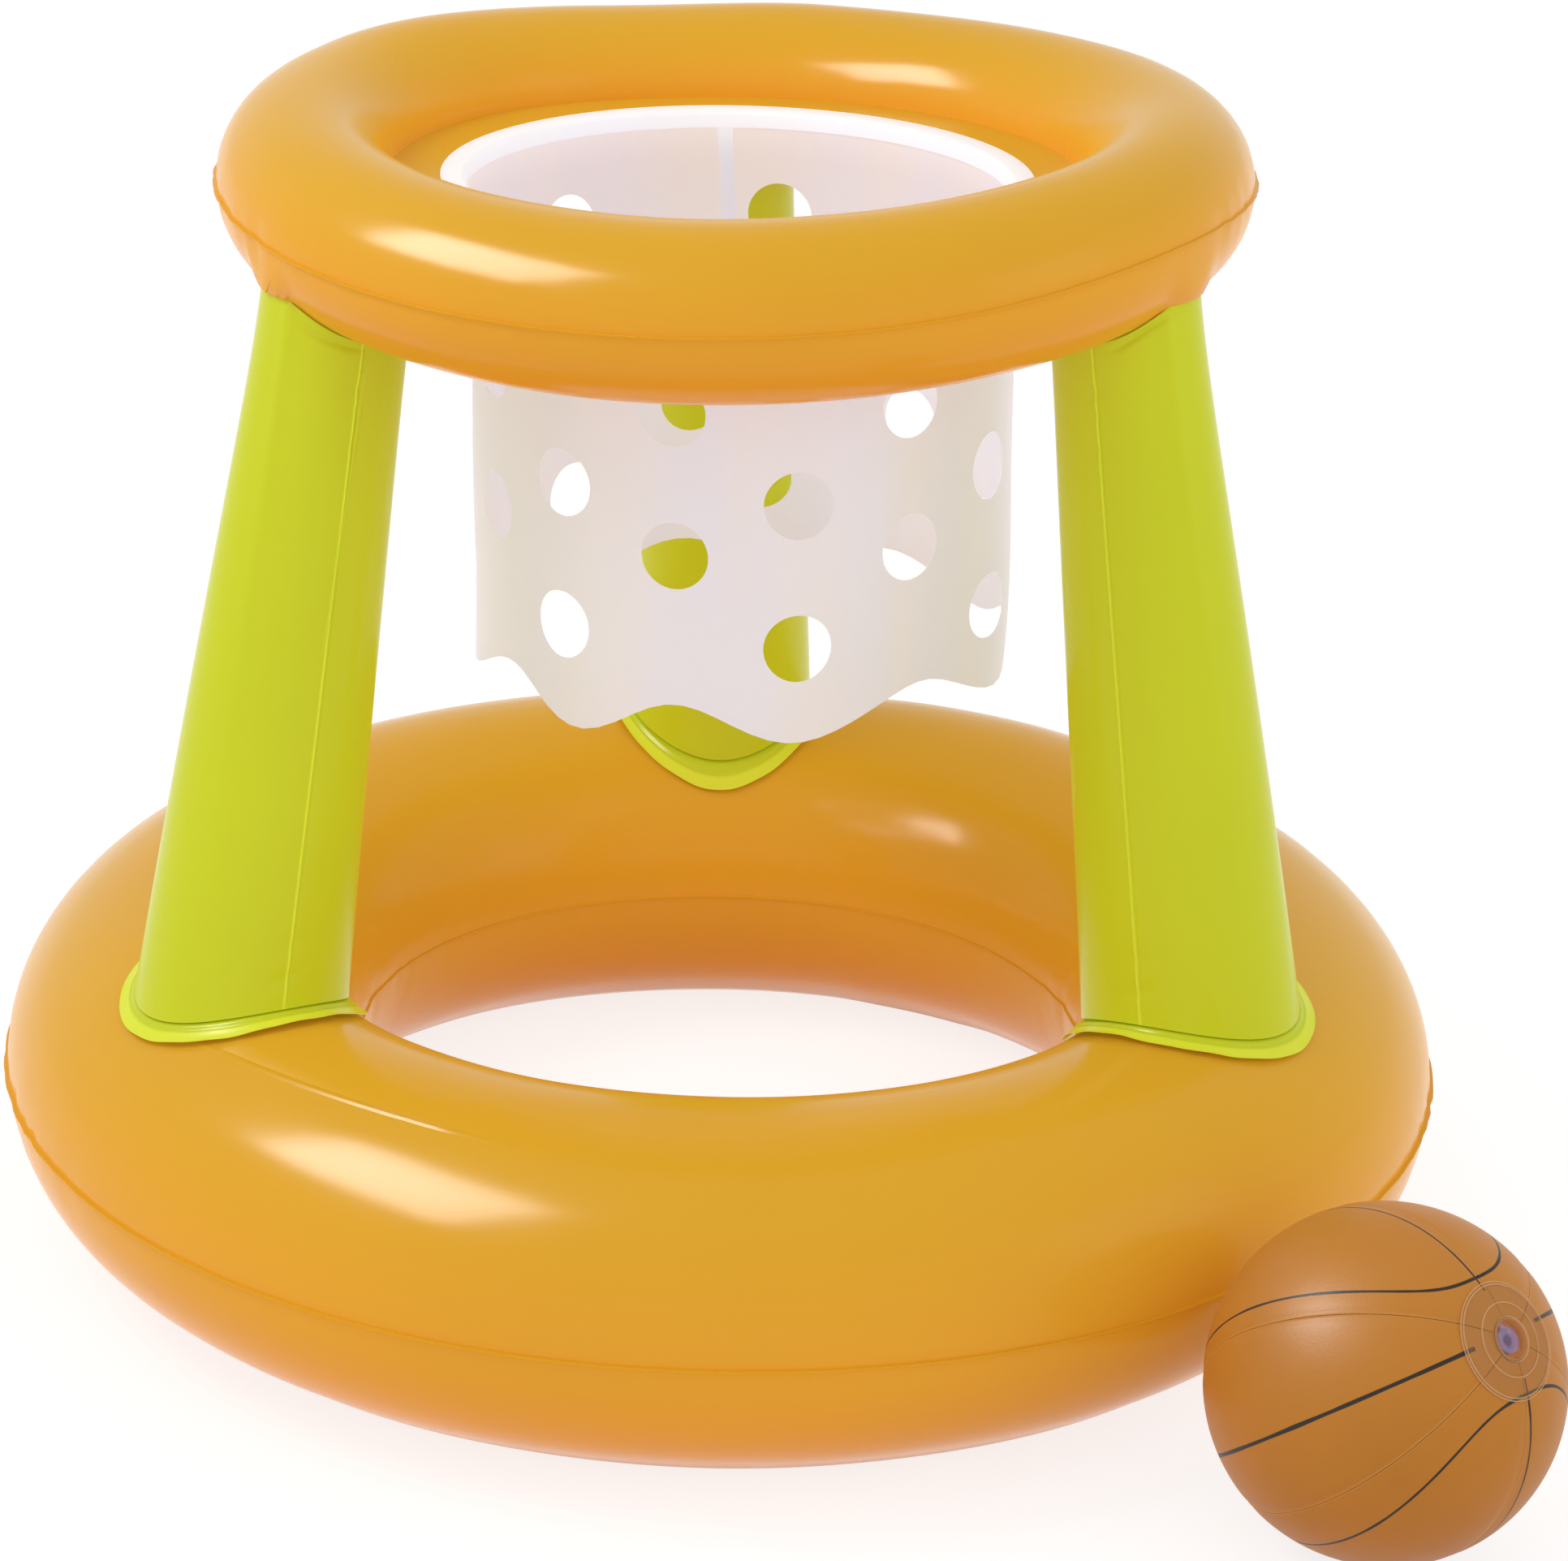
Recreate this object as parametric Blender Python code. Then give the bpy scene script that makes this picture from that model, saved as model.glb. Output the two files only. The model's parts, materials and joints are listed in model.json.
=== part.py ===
# Inflatable basketball hoop with its ball: a base ring that floats, three leaning legs, a top ring
# that carries a punched net, and the inflation valves of the three air chambers.
# Metres, +Z up. The origin is on the ground, under the middle of the whole set's box.

import math
from dataclasses import dataclass

import bmesh
import bpy
from mathutils import Matrix, Vector

# Vinyl and the room between welded pieces
SHEET = 0.0003
GAP = 0.0003
CURVED_SEAT_GAP = 0.0007
CUT_OVERRUN = 0.004

# Base ring
BASE_RING_RADIUS = 0.335
BASE_TUBE_HALF_WIDTH = 0.0815
BASE_TUBE_HALF_HEIGHT = 0.079
BASE_CONTACT_WIDTH = 0.024
SEAM_LIP = 0.0012

# Top ring
TOP_RING_RADIUS = 0.230
TOP_TUBE_HALF_WIDTH = 0.038
TOP_TUBE_HALF_HEIGHT = 0.0375
TOP_SEAM_HEIGHT = 0.4954
TOP_RING_SAG = 0.0052
SAG_TURN = math.radians(-15)
NET_FLANGE_WIDTH = 0.0255

# Legs
LEG_TURNS = {"left": math.radians(-150), "right": math.radians(-30), "back": math.radians(90)}
LEG_FOOT_RADIUS = 0.0472
LEG_TOP_INSET = 0.006
LEG_TOP_OFFSET = 0.004
FOOT_INSET = 0.0108
FOOT_LIP = 0.0058
TOP_PATCH_INSET = 0.004
PASSAGE_RADIUS = 0.008

# Net
RIM_OVERLAP = 0.0035
RIM_WIDTH = 0.0108
RIM_TURN_DOWN = 0.008
NET_DROP = 0.2157
NET_TAPER = 0.0022
NET_LOBES = 7
NET_TURN = math.radians(-76.1)
HEM_WAVE = 0.008
HOLE_RADIUS = 0.0152
HOLE_PITCH = 0.065
LOBE_HOLE_RISE = 0.0373
TROUGH_HOLE_RISE = 0.077
LOBE_HOLES = 3
TROUGH_HOLES = 2

# Ball
BALL_RADIUS = 0.075
BALL_TURN = math.radians(-50.2)
BALL_CLEARANCE = 0.0196
BALL_VALVE_TURN = math.radians(-45.4)
BALL_VALVE_RISE = math.radians(35.9)
GORES = 6
GORE_TURN = math.radians(-6.3)
VALVE_PATCH_RADIUS = 0.025
END_PATCH_RADIUS = 0.012
END_HOLE_RADIUS = 0.002
WELL_RADIUS = 0.0084
WELL_DEPTH = 0.0045
WELL_CLEARANCE = 0.0006

# Valves
BASE_VALVE_TURN = math.radians(63)
TOP_VALVE_TURN = math.radians(120)
FLANGE_RADIUS = 0.012
FLANGE_THICKNESS = 0.0008
STEM_RADIUS = 0.0045
STEM_WALL = 0.0016
STEM_DEPTH = 0.011
STEM_HOLE_CLEARANCE = 0.0003
SHEET_HOLE_CLEARANCE = 0.0007
LIP_OVERHANG = 0.0009
LIP_THICKNESS = 0.001
COLLAR_OVERHANG = 0.0019
COLLAR_THICKNESS = 0.001
CAP_THICKNESS = 0.0012
STOPPER_LENGTH = 0.0046
STOPPER_CLEARANCE = 0.0005
STOPPER_TAPER = 0.0008
STRAP_LENGTH = 0.0014
STRAP_WIDTH = 0.0026
STRAP_THICKNESS = 0.0007
FLAP_THICKNESS = 0.0005
FLAP_OVERLAP = 0.0007

# Mesh fineness
BASE_SEGMENTS = 40
BASE_TUBE_STEPS = 8
TOP_SEGMENTS = 36
TOP_TUBE_STEPS = 6
LEG_SEGMENTS = 28
LEG_ROW_SHARES = (0, 0.33, 0.67, 1)
FOOT_ROW_SHARES = (1, 0.9, 0.79, 0.65, 0.45, 0.22, 0)
PATCH_ROW_SHARES = (0, 0.4, 0.7, 0.88, 1)
NET_SEGMENTS = 42
NET_ROW_SHARES = (0, 0.5, 1)
HOLE_SEGMENTS = 12
GORE_ROWS = 10
GORE_COLUMNS = 3
VALVE_SEGMENTS = 16
FLANGE_ROWS = 3
VALVE_ROW = 1
HALVINGS = 40

# Finishes: colour, roughness, opacity
FINISHES = {
    "ring_vinyl": ((0.73, 0.37, 0.03, 1), 0.28, 1.0),
    "leg_vinyl": ((0.60, 0.66, 0.03, 1), 0.30, 1.0),
    "net_vinyl": ((0.80, 0.74, 0.74, 1), 0.40, 0.9),
    "ball_vinyl": ((0.56, 0.21, 0.04, 1), 0.35, 1.0),
    "clear_vinyl": ((0.80, 0.72, 0.62, 1), 0.20, 0.5),
}


@dataclass(frozen=True)
class Ring:
    radius: float  # to the middle of the tube
    half_width: float
    half_height: float
    seam_height: float
    segments: int  # of its mesh, round the hoop
    steps: int  # of its mesh, from seam to seam over one sheet

    def slopes(self):
        """The slopes of the mesh rows of one sheet, from its outer lip to its inner lip."""
        start = math.asin(LIP_HEIGHT / self.half_height)
        return [mix(start, math.pi - start, step / self.steps) for step in range(self.steps + 1)]

    def height(self, reach, out):
        """How far above or below the seam the skin lies at this distance from the axis."""
        across = (reach - self.radius) / (self.half_width + out)
        return (self.half_height + out) * math.sqrt(max(0, 1 - across**2))

    def level(self, point, out):
        """Negative inside the tube's skin, zero on it, positive outside it."""
        across = (math.hypot(point.x, point.y) - self.radius) / (self.half_width + out)
        up = (point.z - self.seam_height) / (self.half_height + out)
        return across**2 + up**2 - 1

    def skin(self, turn, slope, out):
        """A point at this turn round the hoop and slope up the tube, lifted off the skin."""
        across = math.cos(slope) * (self.half_width + out)
        up = math.sin(slope) * (self.half_height + out)
        return settled(polar(self.radius + across, turn, self.seam_height + up))


def contact_drop():
    """How far a round tube would reach below the ground, had the ground not flattened it."""
    across = BASE_CONTACT_WIDTH / 2 / BASE_TUBE_HALF_WIDTH
    return BASE_TUBE_HALF_HEIGHT * (1 - math.sqrt(1 - across**2))


BASE = Ring(
    BASE_RING_RADIUS - BASE_TUBE_HALF_WIDTH,
    BASE_TUBE_HALF_WIDTH,
    BASE_TUBE_HALF_HEIGHT,
    BASE_TUBE_HALF_HEIGHT - contact_drop(),
    BASE_SEGMENTS,
    BASE_TUBE_STEPS,
)
TOP = Ring(
    TOP_RING_RADIUS - TOP_TUBE_HALF_WIDTH,
    TOP_TUBE_HALF_WIDTH,
    TOP_TUBE_HALF_HEIGHT,
    TOP_SEAM_HEIGHT,
    TOP_SEGMENTS,
    TOP_TUBE_STEPS,
)

BASE_TOP_HEIGHT = BASE.seam_height + BASE.half_height
TOP_BOTTOM_HEIGHT = TOP.seam_height - TOP.half_height
TOP_INNER_RADIUS = TOP.radius - TOP.half_width
FLANGE_EDGE_RADIUS = TOP_INNER_RADIUS - NET_FLANGE_WIDTH
RIM_OUTER_RADIUS = FLANGE_EDGE_RADIUS + RIM_OVERLAP
RIM_INNER_RADIUS = RIM_OUTER_RADIUS - RIM_WIDTH
NET_RADIUS = RIM_INNER_RADIUS + SHEET + GAP + SHEET
LIP_HEIGHT = GAP / 2 + SHEET

FOOT_REACH = BASE.radius - FOOT_INSET
LEG_TOP_REACH = TOP.radius + LEG_TOP_OFFSET
LEG_TOP_RADIUS = TOP.half_width - LEG_TOP_INSET
FOOT_RADIUS = LEG_FOOT_RADIUS + FOOT_LIP

STEM_BORE = STEM_RADIUS - STEM_WALL
STEM_HOLE_RADIUS = STEM_RADIUS + STEM_HOLE_CLEARANCE
SHEET_HOLE_RADIUS = STEM_RADIUS + SHEET_HOLE_CLEARANCE
LIP_RADIUS = STEM_RADIUS + LIP_OVERHANG
COLLAR_RADIUS = STEM_RADIUS + COLLAR_OVERHANG
HINGE_REACH = LIP_RADIUS + STRAP_LENGTH
FLAP_RADIUS = STEM_BORE + FLAP_OVERLAP

BALL_REACH = BASE_RING_RADIUS + BALL_CLEARANCE + BALL_RADIUS
BALL_PLACE = Vector((BALL_REACH * math.cos(BALL_TURN), BALL_REACH * math.sin(BALL_TURN), BALL_RADIUS))
SET_RIGHT = max(BASE_RING_RADIUS + SEAM_LIP, BALL_PLACE.x + BALL_RADIUS)
SET_FRONT = min(-BASE_RING_RADIUS - SEAM_LIP, BALL_PLACE.y - BALL_RADIUS)
SET_BACK = BASE_RING_RADIUS + SEAM_LIP
HOOP_PLACE = -Vector((SET_RIGHT - SET_BACK, SET_FRONT + SET_BACK, 0)) / 2


def polar(reach, turn, height):
    return Vector((reach * math.cos(turn), reach * math.sin(turn), height))


def mix(start, end, share):
    return start + (end - start) * share


def smooth_step(value, low, high):
    share = min(1, max(0, (value - low) / (high - low)))
    return share * share * (3 - 2 * share)


def settled(point):
    """The soft top ring sags at the front and the back and rises at its sides. The legs go with it."""
    reach = math.hypot(point.x, point.y)
    turn = math.atan2(point.y, point.x)
    share = smooth_step(point.z, BASE_TOP_HEIGHT, TOP_BOTTOM_HEIGHT)
    share *= smooth_step(reach, RIM_OUTER_RADIUS, TOP.radius)
    return point + Vector((0, 0, TOP_RING_SAG * share * math.cos(2 * (turn - SAG_TURN))))


def turns(segments):
    return [2 * math.pi * index / segments for index in range(segments)]


def clear_scene():
    for old in list(bpy.data.objects):
        bpy.data.objects.remove(old, do_unlink=True)


def finish_of(name):
    material = bpy.data.materials.get(name)
    if material:
        return material
    colour, roughness, opacity = FINISHES[name]
    material = bpy.data.materials.new(name)
    material.use_nodes = True
    shader = material.node_tree.nodes["Principled BSDF"]
    shader.inputs["Base Color"].default_value = colour
    shader.inputs["Roughness"].default_value = roughness
    shader.inputs["Alpha"].default_value = opacity
    material.diffuse_color = colour
    return material


def add_object(name, mesh_builder, finish, parent, place=Vector()):
    """Turns a bmesh into a named, smoothly shaded object in its parent's frame."""
    mesh = bpy.data.meshes.new(name)
    mesh_builder.to_mesh(mesh)
    mesh_builder.free()
    mesh.materials.append(finish_of(finish))
    mesh.shade_smooth()
    mesh.set_sharp_from_angle(angle=math.radians(40))
    piece = bpy.data.objects.new(name, mesh)
    bpy.context.scene.collection.objects.link(piece)
    piece.parent = parent
    piece.location = place
    return piece


def add_empty(name, parent=None, place=None):
    empty = bpy.data.objects.new(name, None)
    bpy.context.scene.collection.objects.link(empty)
    empty.parent = parent
    if place is not None:
        empty.matrix_local = place
    return empty


def cutter(name, mesh_builder, parent):
    piece = add_object(name, mesh_builder, "ring_vinyl", parent)
    piece.hide_render = True
    piece.display_type = "WIRE"
    return piece


def cut(piece, tool):
    boolean = piece.modifiers.new(f"cut_{tool.name}", "BOOLEAN")
    boolean.operation = "DIFFERENCE"
    boolean.object = tool


def grow(piece, other):
    boolean = piece.modifiers.new(f"join_{other.name}", "BOOLEAN")
    boolean.operation = "UNION"
    boolean.object = other


def woven(rows, closed=True):
    """Quads between rows of points. Along a row, crossed with the way to the next, points outwards."""
    builder = bmesh.new()
    loops = [[builder.verts.new(point) for point in row] for row in rows]
    for low, high in zip(loops, loops[1:]):
        for index in range(len(low) if closed else len(low) - 1):
            after = (index + 1) % len(low)
            builder.faces.new((low[index], low[after], high[after], high[index]))
    bmesh.ops.remove_doubles(builder, verts=builder.verts, dist=GAP / 10)
    return builder


def sheet(name, builder, finish, parent, thickness=SHEET):
    """A skin of vinyl: the mesh is its outer face, and its thickness goes inwards."""
    piece = add_object(name, builder, finish, parent)
    wall = piece.modifiers.new("thickness", "SOLIDIFY")
    wall.thickness = thickness
    wall.offset = -1
    wall.use_even_offset = True
    return piece


def turned(profile, segments=VALVE_SEGMENTS):
    """A closed outline of (radius, height) points, spun all the way round the Z axis."""
    builder = bmesh.new()
    outline = [builder.verts.new((radius, 0, height)) for radius, height in profile]
    edges = [builder.edges.new(pair) for pair in zip(outline, outline[1:] + outline[:1])]
    bmesh.ops.spin(
        builder,
        geom=outline + edges,
        cent=(0, 0, 0),
        axis=(0, 0, 1),
        angle=2 * math.pi,
        steps=segments,
        use_merge=True,
    )
    bmesh.ops.remove_doubles(builder, verts=builder.verts, dist=GAP / 10)
    bmesh.ops.recalc_face_normals(builder, faces=builder.faces)
    return builder


def block(size, middle):
    builder = bmesh.new()
    place = Matrix.Translation(middle) @ Matrix.Diagonal(size).to_4x4()
    bmesh.ops.create_cube(builder, size=1, matrix=place)
    return builder


def ring_rows(ring, inner_lips, upper, ground=False):
    """Rows round the ring, along one sheet's section from lip to lip."""
    way = 1 if upper else -1
    section = [
        (ring.radius + ring.half_width * math.cos(slope), way * ring.half_height * math.sin(slope))
        for slope in ring.slopes()
    ]
    section.insert(0, (section[0][0] + SEAM_LIP, way * LIP_HEIGHT))
    inner_seam = section[-1][0]
    section += [(inner_seam - lip, way * LIP_HEIGHT) for lip in inner_lips]
    if ground:
        section = flattened(ring, section)
    if not upper:
        section.reverse()
    return [
        [settled(polar(reach, turn, ring.seam_height + rise)) for turn in turns(ring.segments)]
        for reach, rise in section
    ]


def flattened(ring, section):
    """The section with the band that rests on the ground made flat."""
    kept = [point for point in section if abs(point[0] - ring.radius) > BASE_CONTACT_WIDTH / 2]
    inner = sum(1 for point in kept if point[0] > ring.radius)
    band = [(ring.radius + side * BASE_CONTACT_WIDTH / 2, -ring.seam_height) for side in (1, -1)]
    return kept[:inner] + band + kept[inner:]


def make_rings(hoop):
    """Each ring is an upper and a lower sheet, welded at the outer and the inner seam."""
    base_upper = ring_rows(BASE, [SEAM_LIP], True)
    base_lower = ring_rows(BASE, [SEAM_LIP], False, ground=True)
    flange = [NET_FLANGE_WIDTH - RIM_OVERLAP, NET_FLANGE_WIDTH]
    top_upper = ring_rows(TOP, flange, True)
    top_lower = ring_rows(TOP, flange, False)
    return {
        "base_upper": sheet("base_ring_upper_sheet", woven(base_upper), "ring_vinyl", hoop),
        "base_lower": sheet("base_ring_lower_sheet", woven(base_lower), "ring_vinyl", hoop),
        "top_upper": sheet("top_ring_upper_sheet", woven(top_upper), "ring_vinyl", hoop),
        "top_lower": sheet("top_ring_lower_sheet", woven(top_lower), "ring_vinyl", hoop),
    }


def leg_centre(turn, share):
    reach = mix(FOOT_REACH, LEG_TOP_REACH, share)
    return polar(reach, turn, mix(BASE_TOP_HEIGHT, TOP_BOTTOM_HEIGHT, share))


def leg_point(turn, share, around):
    """A point on the leg's skin: share runs up the leg, around goes about its axis."""
    radius = mix(LEG_FOOT_RADIUS, LEG_TOP_RADIUS, share)
    return leg_centre(turn, share) + polar(radius, turn + around, 0)


def meeting_share(turn, around, ring, out, outside, inside):
    """The share up the leg at which its skin meets the ring's, found by halving."""
    for _ in range(HALVINGS):
        middle = (outside + inside) / 2
        if ring.level(leg_point(turn, middle, around), out) > 0:
            outside = middle
        else:
            inside = middle
    return outside


def share_at(height):
    return (height - BASE_TOP_HEIGHT) / (TOP_BOTTOM_HEIGHT - BASE_TOP_HEIGHT)


def leg_rows(turn):
    """Rows up the leg, from the sheet it stands on to the underside of the top ring."""
    middle = share_at((BASE_TOP_HEIGHT + TOP_BOTTOM_HEIGHT) / 2)
    on_foot = CURVED_SEAT_GAP + SHEET + CURVED_SEAT_GAP
    ends = [
        (
            meeting_share(turn, around, BASE, on_foot, middle, share_at(BASE.seam_height)),
            meeting_share(turn, around, TOP, CURVED_SEAT_GAP, middle, share_at(TOP.seam_height)),
        )
        for around in turns(LEG_SEGMENTS)
    ]
    return [
        [
            settled(leg_point(turn, mix(low, high, share), around))
            for around, (low, high) in zip(turns(LEG_SEGMENTS), ends)
        ]
        for share in LEG_ROW_SHARES
    ]


def seat_rows(ring, centre, radius, out, side, shares):
    """Rings of points on a round patch that lies on the tube, above it or below it."""
    rows = []
    for share in shares:
        flat = [centre + polar(radius * share, around, 0) for around in turns(LEG_SEGMENTS)]
        heights = [ring.height(math.hypot(point.x, point.y), out) for point in flat]
        rows.append(
            [
                settled(Vector((point.x, point.y, ring.seam_height + side * height)))
                for point, height in zip(flat, heights)
            ]
        )
    return rows


def make_leg(name, turn, hoop, rings):
    """A leg is a rolled side sheet, a foot sheet with a welded lip and a top patch with a passage."""
    sheet(f"{name}_leg_side_sheet", woven(leg_rows(turn)), "leg_vinyl", hoop)
    seat = CURVED_SEAT_GAP + SHEET
    foot = seat_rows(BASE, leg_centre(turn, 0), FOOT_RADIUS, seat, 1, FOOT_ROW_SHARES)
    sheet(f"{name}_leg_foot_sheet", woven(foot), "leg_vinyl", hoop)
    patch_radius = LEG_TOP_RADIUS - TOP_PATCH_INSET
    patch = seat_rows(TOP, leg_centre(turn, 1), patch_radius, seat, -1, PATCH_ROW_SHARES)
    patch_piece = sheet(f"{name}_leg_top_patch", woven(patch), "leg_vinyl", hoop)
    passage = bmesh.new()
    bmesh.ops.create_cone(
        passage,
        cap_ends=True,
        segments=HOLE_SEGMENTS,
        radius1=PASSAGE_RADIUS,
        radius2=PASSAGE_RADIUS,
        depth=TOP.half_height,
        matrix=Matrix.Translation(leg_centre(turn, 1)),
    )
    tool = cutter(f"{name}_air_passage", passage, hoop)
    cut(patch_piece, tool)
    cut(rings["top_lower"], tool)


def net_height(turn, share):
    """Height of the net at a share of the way up it: its hem hangs in lobes and its top is level."""
    hem = TOP.seam_height - NET_DROP - HEM_WAVE * math.cos(NET_LOBES * (turn - NET_TURN))
    return mix(hem, TOP.seam_height - GAP, share)


def net_radius(share):
    return mix(NET_RADIUS - NET_TAPER, NET_RADIUS, share)


def net_hole_places():
    """Turn and height of every hole, in columns over the hem's lobes and over its troughs."""
    places = []
    hem = TOP.seam_height - NET_DROP
    half_step = math.pi / NET_LOBES
    for column in range(2 * NET_LOBES):
        over_lobe = column % 2 == 0
        rise = LOBE_HOLE_RISE if over_lobe else TROUGH_HOLE_RISE
        for row in range(LOBE_HOLES if over_lobe else TROUGH_HOLES):
            places.append((NET_TURN + column * half_step, hem + rise + row * HOLE_PITCH))
    return places


def make_net(hoop):
    """The net is a tube of stiff vinyl with punched holes, welded to a rim that lies on the flange."""
    rows = [
        [polar(net_radius(share), turn, net_height(turn, share)) for turn in turns(NET_SEGMENTS)]
        for share in NET_ROW_SHARES
    ]
    net = sheet("net_sheet", woven(rows), "net_vinyl", hoop)
    holes = bmesh.new()
    for turn, height in net_hole_places():
        bmesh.ops.create_cone(
            holes,
            cap_ends=True,
            segments=HOLE_SEGMENTS,
            radius1=HOLE_RADIUS,
            radius2=HOLE_RADIUS,
            depth=2 * CUT_OVERRUN,
            matrix=Matrix.Translation(polar(NET_RADIUS, turn, height))
            @ Matrix.Rotation(turn, 4, "Z")
            @ Matrix.Rotation(math.pi / 2, 4, "Y"),
        )
    cut(net, cutter("net_holes", holes, hoop))
    top = TOP.seam_height + LIP_HEIGHT + GAP + SHEET
    section = [
        (RIM_OUTER_RADIUS, top),
        (RIM_INNER_RADIUS, top),
        (RIM_INNER_RADIUS, top - RIM_TURN_DOWN),
    ]
    rim = [[polar(reach, turn, height) for turn in turns(NET_SEGMENTS)] for reach, height in section]
    sheet("net_rim", woven(rim), "net_vinyl", hoop)


def valve_frame(ring, turn, slope):
    """A frame on the ring's skin: X runs round the ring and Z points out of the tube."""
    small = math.radians(1)
    along = ring.skin(turn + small, slope, 0) - ring.skin(turn - small, slope, 0)
    up = ring.skin(turn, slope + small, 0) - ring.skin(turn, slope - small, 0)
    out = along.cross(up).normalized()
    along.normalize()
    axes = Matrix((along, out.cross(along), out)).transposed()
    return Matrix.Translation(ring.skin(turn, slope, 0)) @ axes.to_4x4()


def make_ring_valve(name, ring, turn, hoop, skin_piece):
    """The flange is welded on the ring's skin, which has a hole for the stem."""
    slope = ring.slopes()[VALVE_ROW]
    tube_radius = (ring.half_width + ring.half_height) / 2
    reach = ring.radius + ring.half_width * math.cos(slope)
    rows = []
    for row in range(FLANGE_ROWS + 1):
        radius = mix(FLANGE_RADIUS, STEM_HOLE_RADIUS, row / FLANGE_ROWS)
        rows.append(
            [
                ring.skin(
                    turn + radius * math.cos(around) / reach,
                    slope + radius * math.sin(around) / tube_radius,
                    GAP + FLANGE_THICKNESS,
                )
                for around in turns(VALVE_SEGMENTS)
            ]
        )
    sheet(f"{name}_valve_flange", woven(rows), "clear_vinyl", hoop, FLANGE_THICKNESS)
    mouth = add_empty(f"{name}_valve", hoop, valve_frame(ring, turn, slope))
    hole = bmesh.new()
    bmesh.ops.create_cone(
        hole,
        cap_ends=True,
        segments=VALVE_SEGMENTS,
        radius1=SHEET_HOLE_RADIUS,
        radius2=SHEET_HOLE_RADIUS,
        depth=2 * CUT_OVERRUN,
    )
    cut(skin_piece, cutter(f"{name}_valve_hole", hole, mouth))
    make_valve(name, mouth, GAP + FLANGE_THICKNESS)


def make_valve(name, mouth, flange_top):
    """Stem, stopper cap and non-return flap. The stem slides in its flange, and the other two swing."""
    lip_low = flange_top + GAP
    lip_high = lip_low + LIP_THICKNESS
    stem_profile = [
        (STEM_BORE, -STEM_DEPTH),
        (COLLAR_RADIUS, -STEM_DEPTH),
        (COLLAR_RADIUS, -STEM_DEPTH + COLLAR_THICKNESS),
        (STEM_RADIUS, -STEM_DEPTH + COLLAR_THICKNESS),
        (STEM_RADIUS, lip_low),
        (LIP_RADIUS, lip_low),
        (LIP_RADIUS, lip_high),
        (STEM_BORE, lip_high),
    ]
    stem = add_object(f"{name}_valve_stem", turned(stem_profile), "clear_vinyl", mouth)
    ear_length = HINGE_REACH - STEM_RADIUS
    ear_size = Vector((ear_length, STRAP_WIDTH, LIP_THICKNESS - GAP))
    ear_middle = Vector((-HINGE_REACH + ear_length / 2, 0, lip_high - ear_size.z / 2 - GAP / 2))
    grow(stem, cutter(f"{name}_stem_ear", block(ear_size, ear_middle), mouth))

    hinge = Vector((-HINGE_REACH, 0, lip_high + GAP / 2))
    cap_low = lip_high + GAP
    cap_profile = [
        (0, cap_low - STOPPER_LENGTH),
        (STEM_BORE - STOPPER_CLEARANCE - STOPPER_TAPER, cap_low - STOPPER_LENGTH),
        (STEM_BORE - STOPPER_CLEARANCE, cap_low),
        (LIP_RADIUS, cap_low),
        (LIP_RADIUS, cap_low + CAP_THICKNESS),
        (0, cap_low + CAP_THICKNESS),
    ]
    cap_builder = turned(cap_profile)
    bmesh.ops.translate(cap_builder, verts=cap_builder.verts, vec=-hinge)
    cap = add_object(f"{name}_valve_cap", cap_builder, "clear_vinyl", stem, hinge)
    strap_length = HINGE_REACH - STEM_BORE
    strap_middle = Vector((strap_length / 2, 0, GAP / 2 + CAP_THICKNESS / 2))
    strap_size = Vector((strap_length, STRAP_WIDTH, STRAP_THICKNESS))
    grow(cap, cutter(f"{name}_cap_strap", block(strap_size, strap_middle), cap))

    flap_hinge = Vector((-COLLAR_RADIUS, 0, -STEM_DEPTH - GAP / 2))
    flap_high = -STEM_DEPTH - GAP
    flap_profile = [
        (0, flap_high - FLAP_THICKNESS),
        (FLAP_RADIUS, flap_high - FLAP_THICKNESS),
        (FLAP_RADIUS, flap_high),
        (0, flap_high),
    ]
    flap_builder = turned(flap_profile)
    bmesh.ops.translate(flap_builder, verts=flap_builder.verts, vec=-flap_hinge)
    flap = add_object(f"{name}_valve_flap", flap_builder, "clear_vinyl", stem, flap_hinge)
    tail_middle = Vector((COLLAR_RADIUS / 2, 0, -GAP / 2 - FLAP_THICKNESS / 2))
    tail_size = Vector((COLLAR_RADIUS, STRAP_WIDTH, FLAP_THICKNESS / 2))
    grow(flap, cutter(f"{name}_flap_tail", block(tail_size, tail_middle), flap))


def ball_point(fall, turn, out):
    """A point over the ball's skin: fall is the angle from the valve's pole, turn goes about it."""
    radius = BALL_RADIUS + out
    return polar(radius * math.sin(fall), turn, radius * math.cos(fall))


def gore_rows(number):
    """Rows across one gore, from the far pole to the valve, with the weld's room left on both sides."""
    start_fall = math.asin((WELL_RADIUS + SHEET + WELL_CLEARANCE) / BALL_RADIUS)
    end_fall = math.pi - math.asin(END_HOLE_RADIUS / BALL_RADIUS)
    rows = []
    for row in range(GORE_ROWS + 1):
        fall = mix(end_fall, start_fall, row / GORE_ROWS)
        weld = math.asin(GAP / 2 / (BALL_RADIUS * math.sin(fall)))
        low = GORE_TURN + 2 * math.pi * number / GORES + weld
        high = GORE_TURN + 2 * math.pi * (number + 1) / GORES - weld
        around = [mix(low, high, step / GORE_COLUMNS) for step in range(GORE_COLUMNS + 1)]
        rows.append([ball_point(fall, turn, 0) for turn in around])
    return rows


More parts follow.
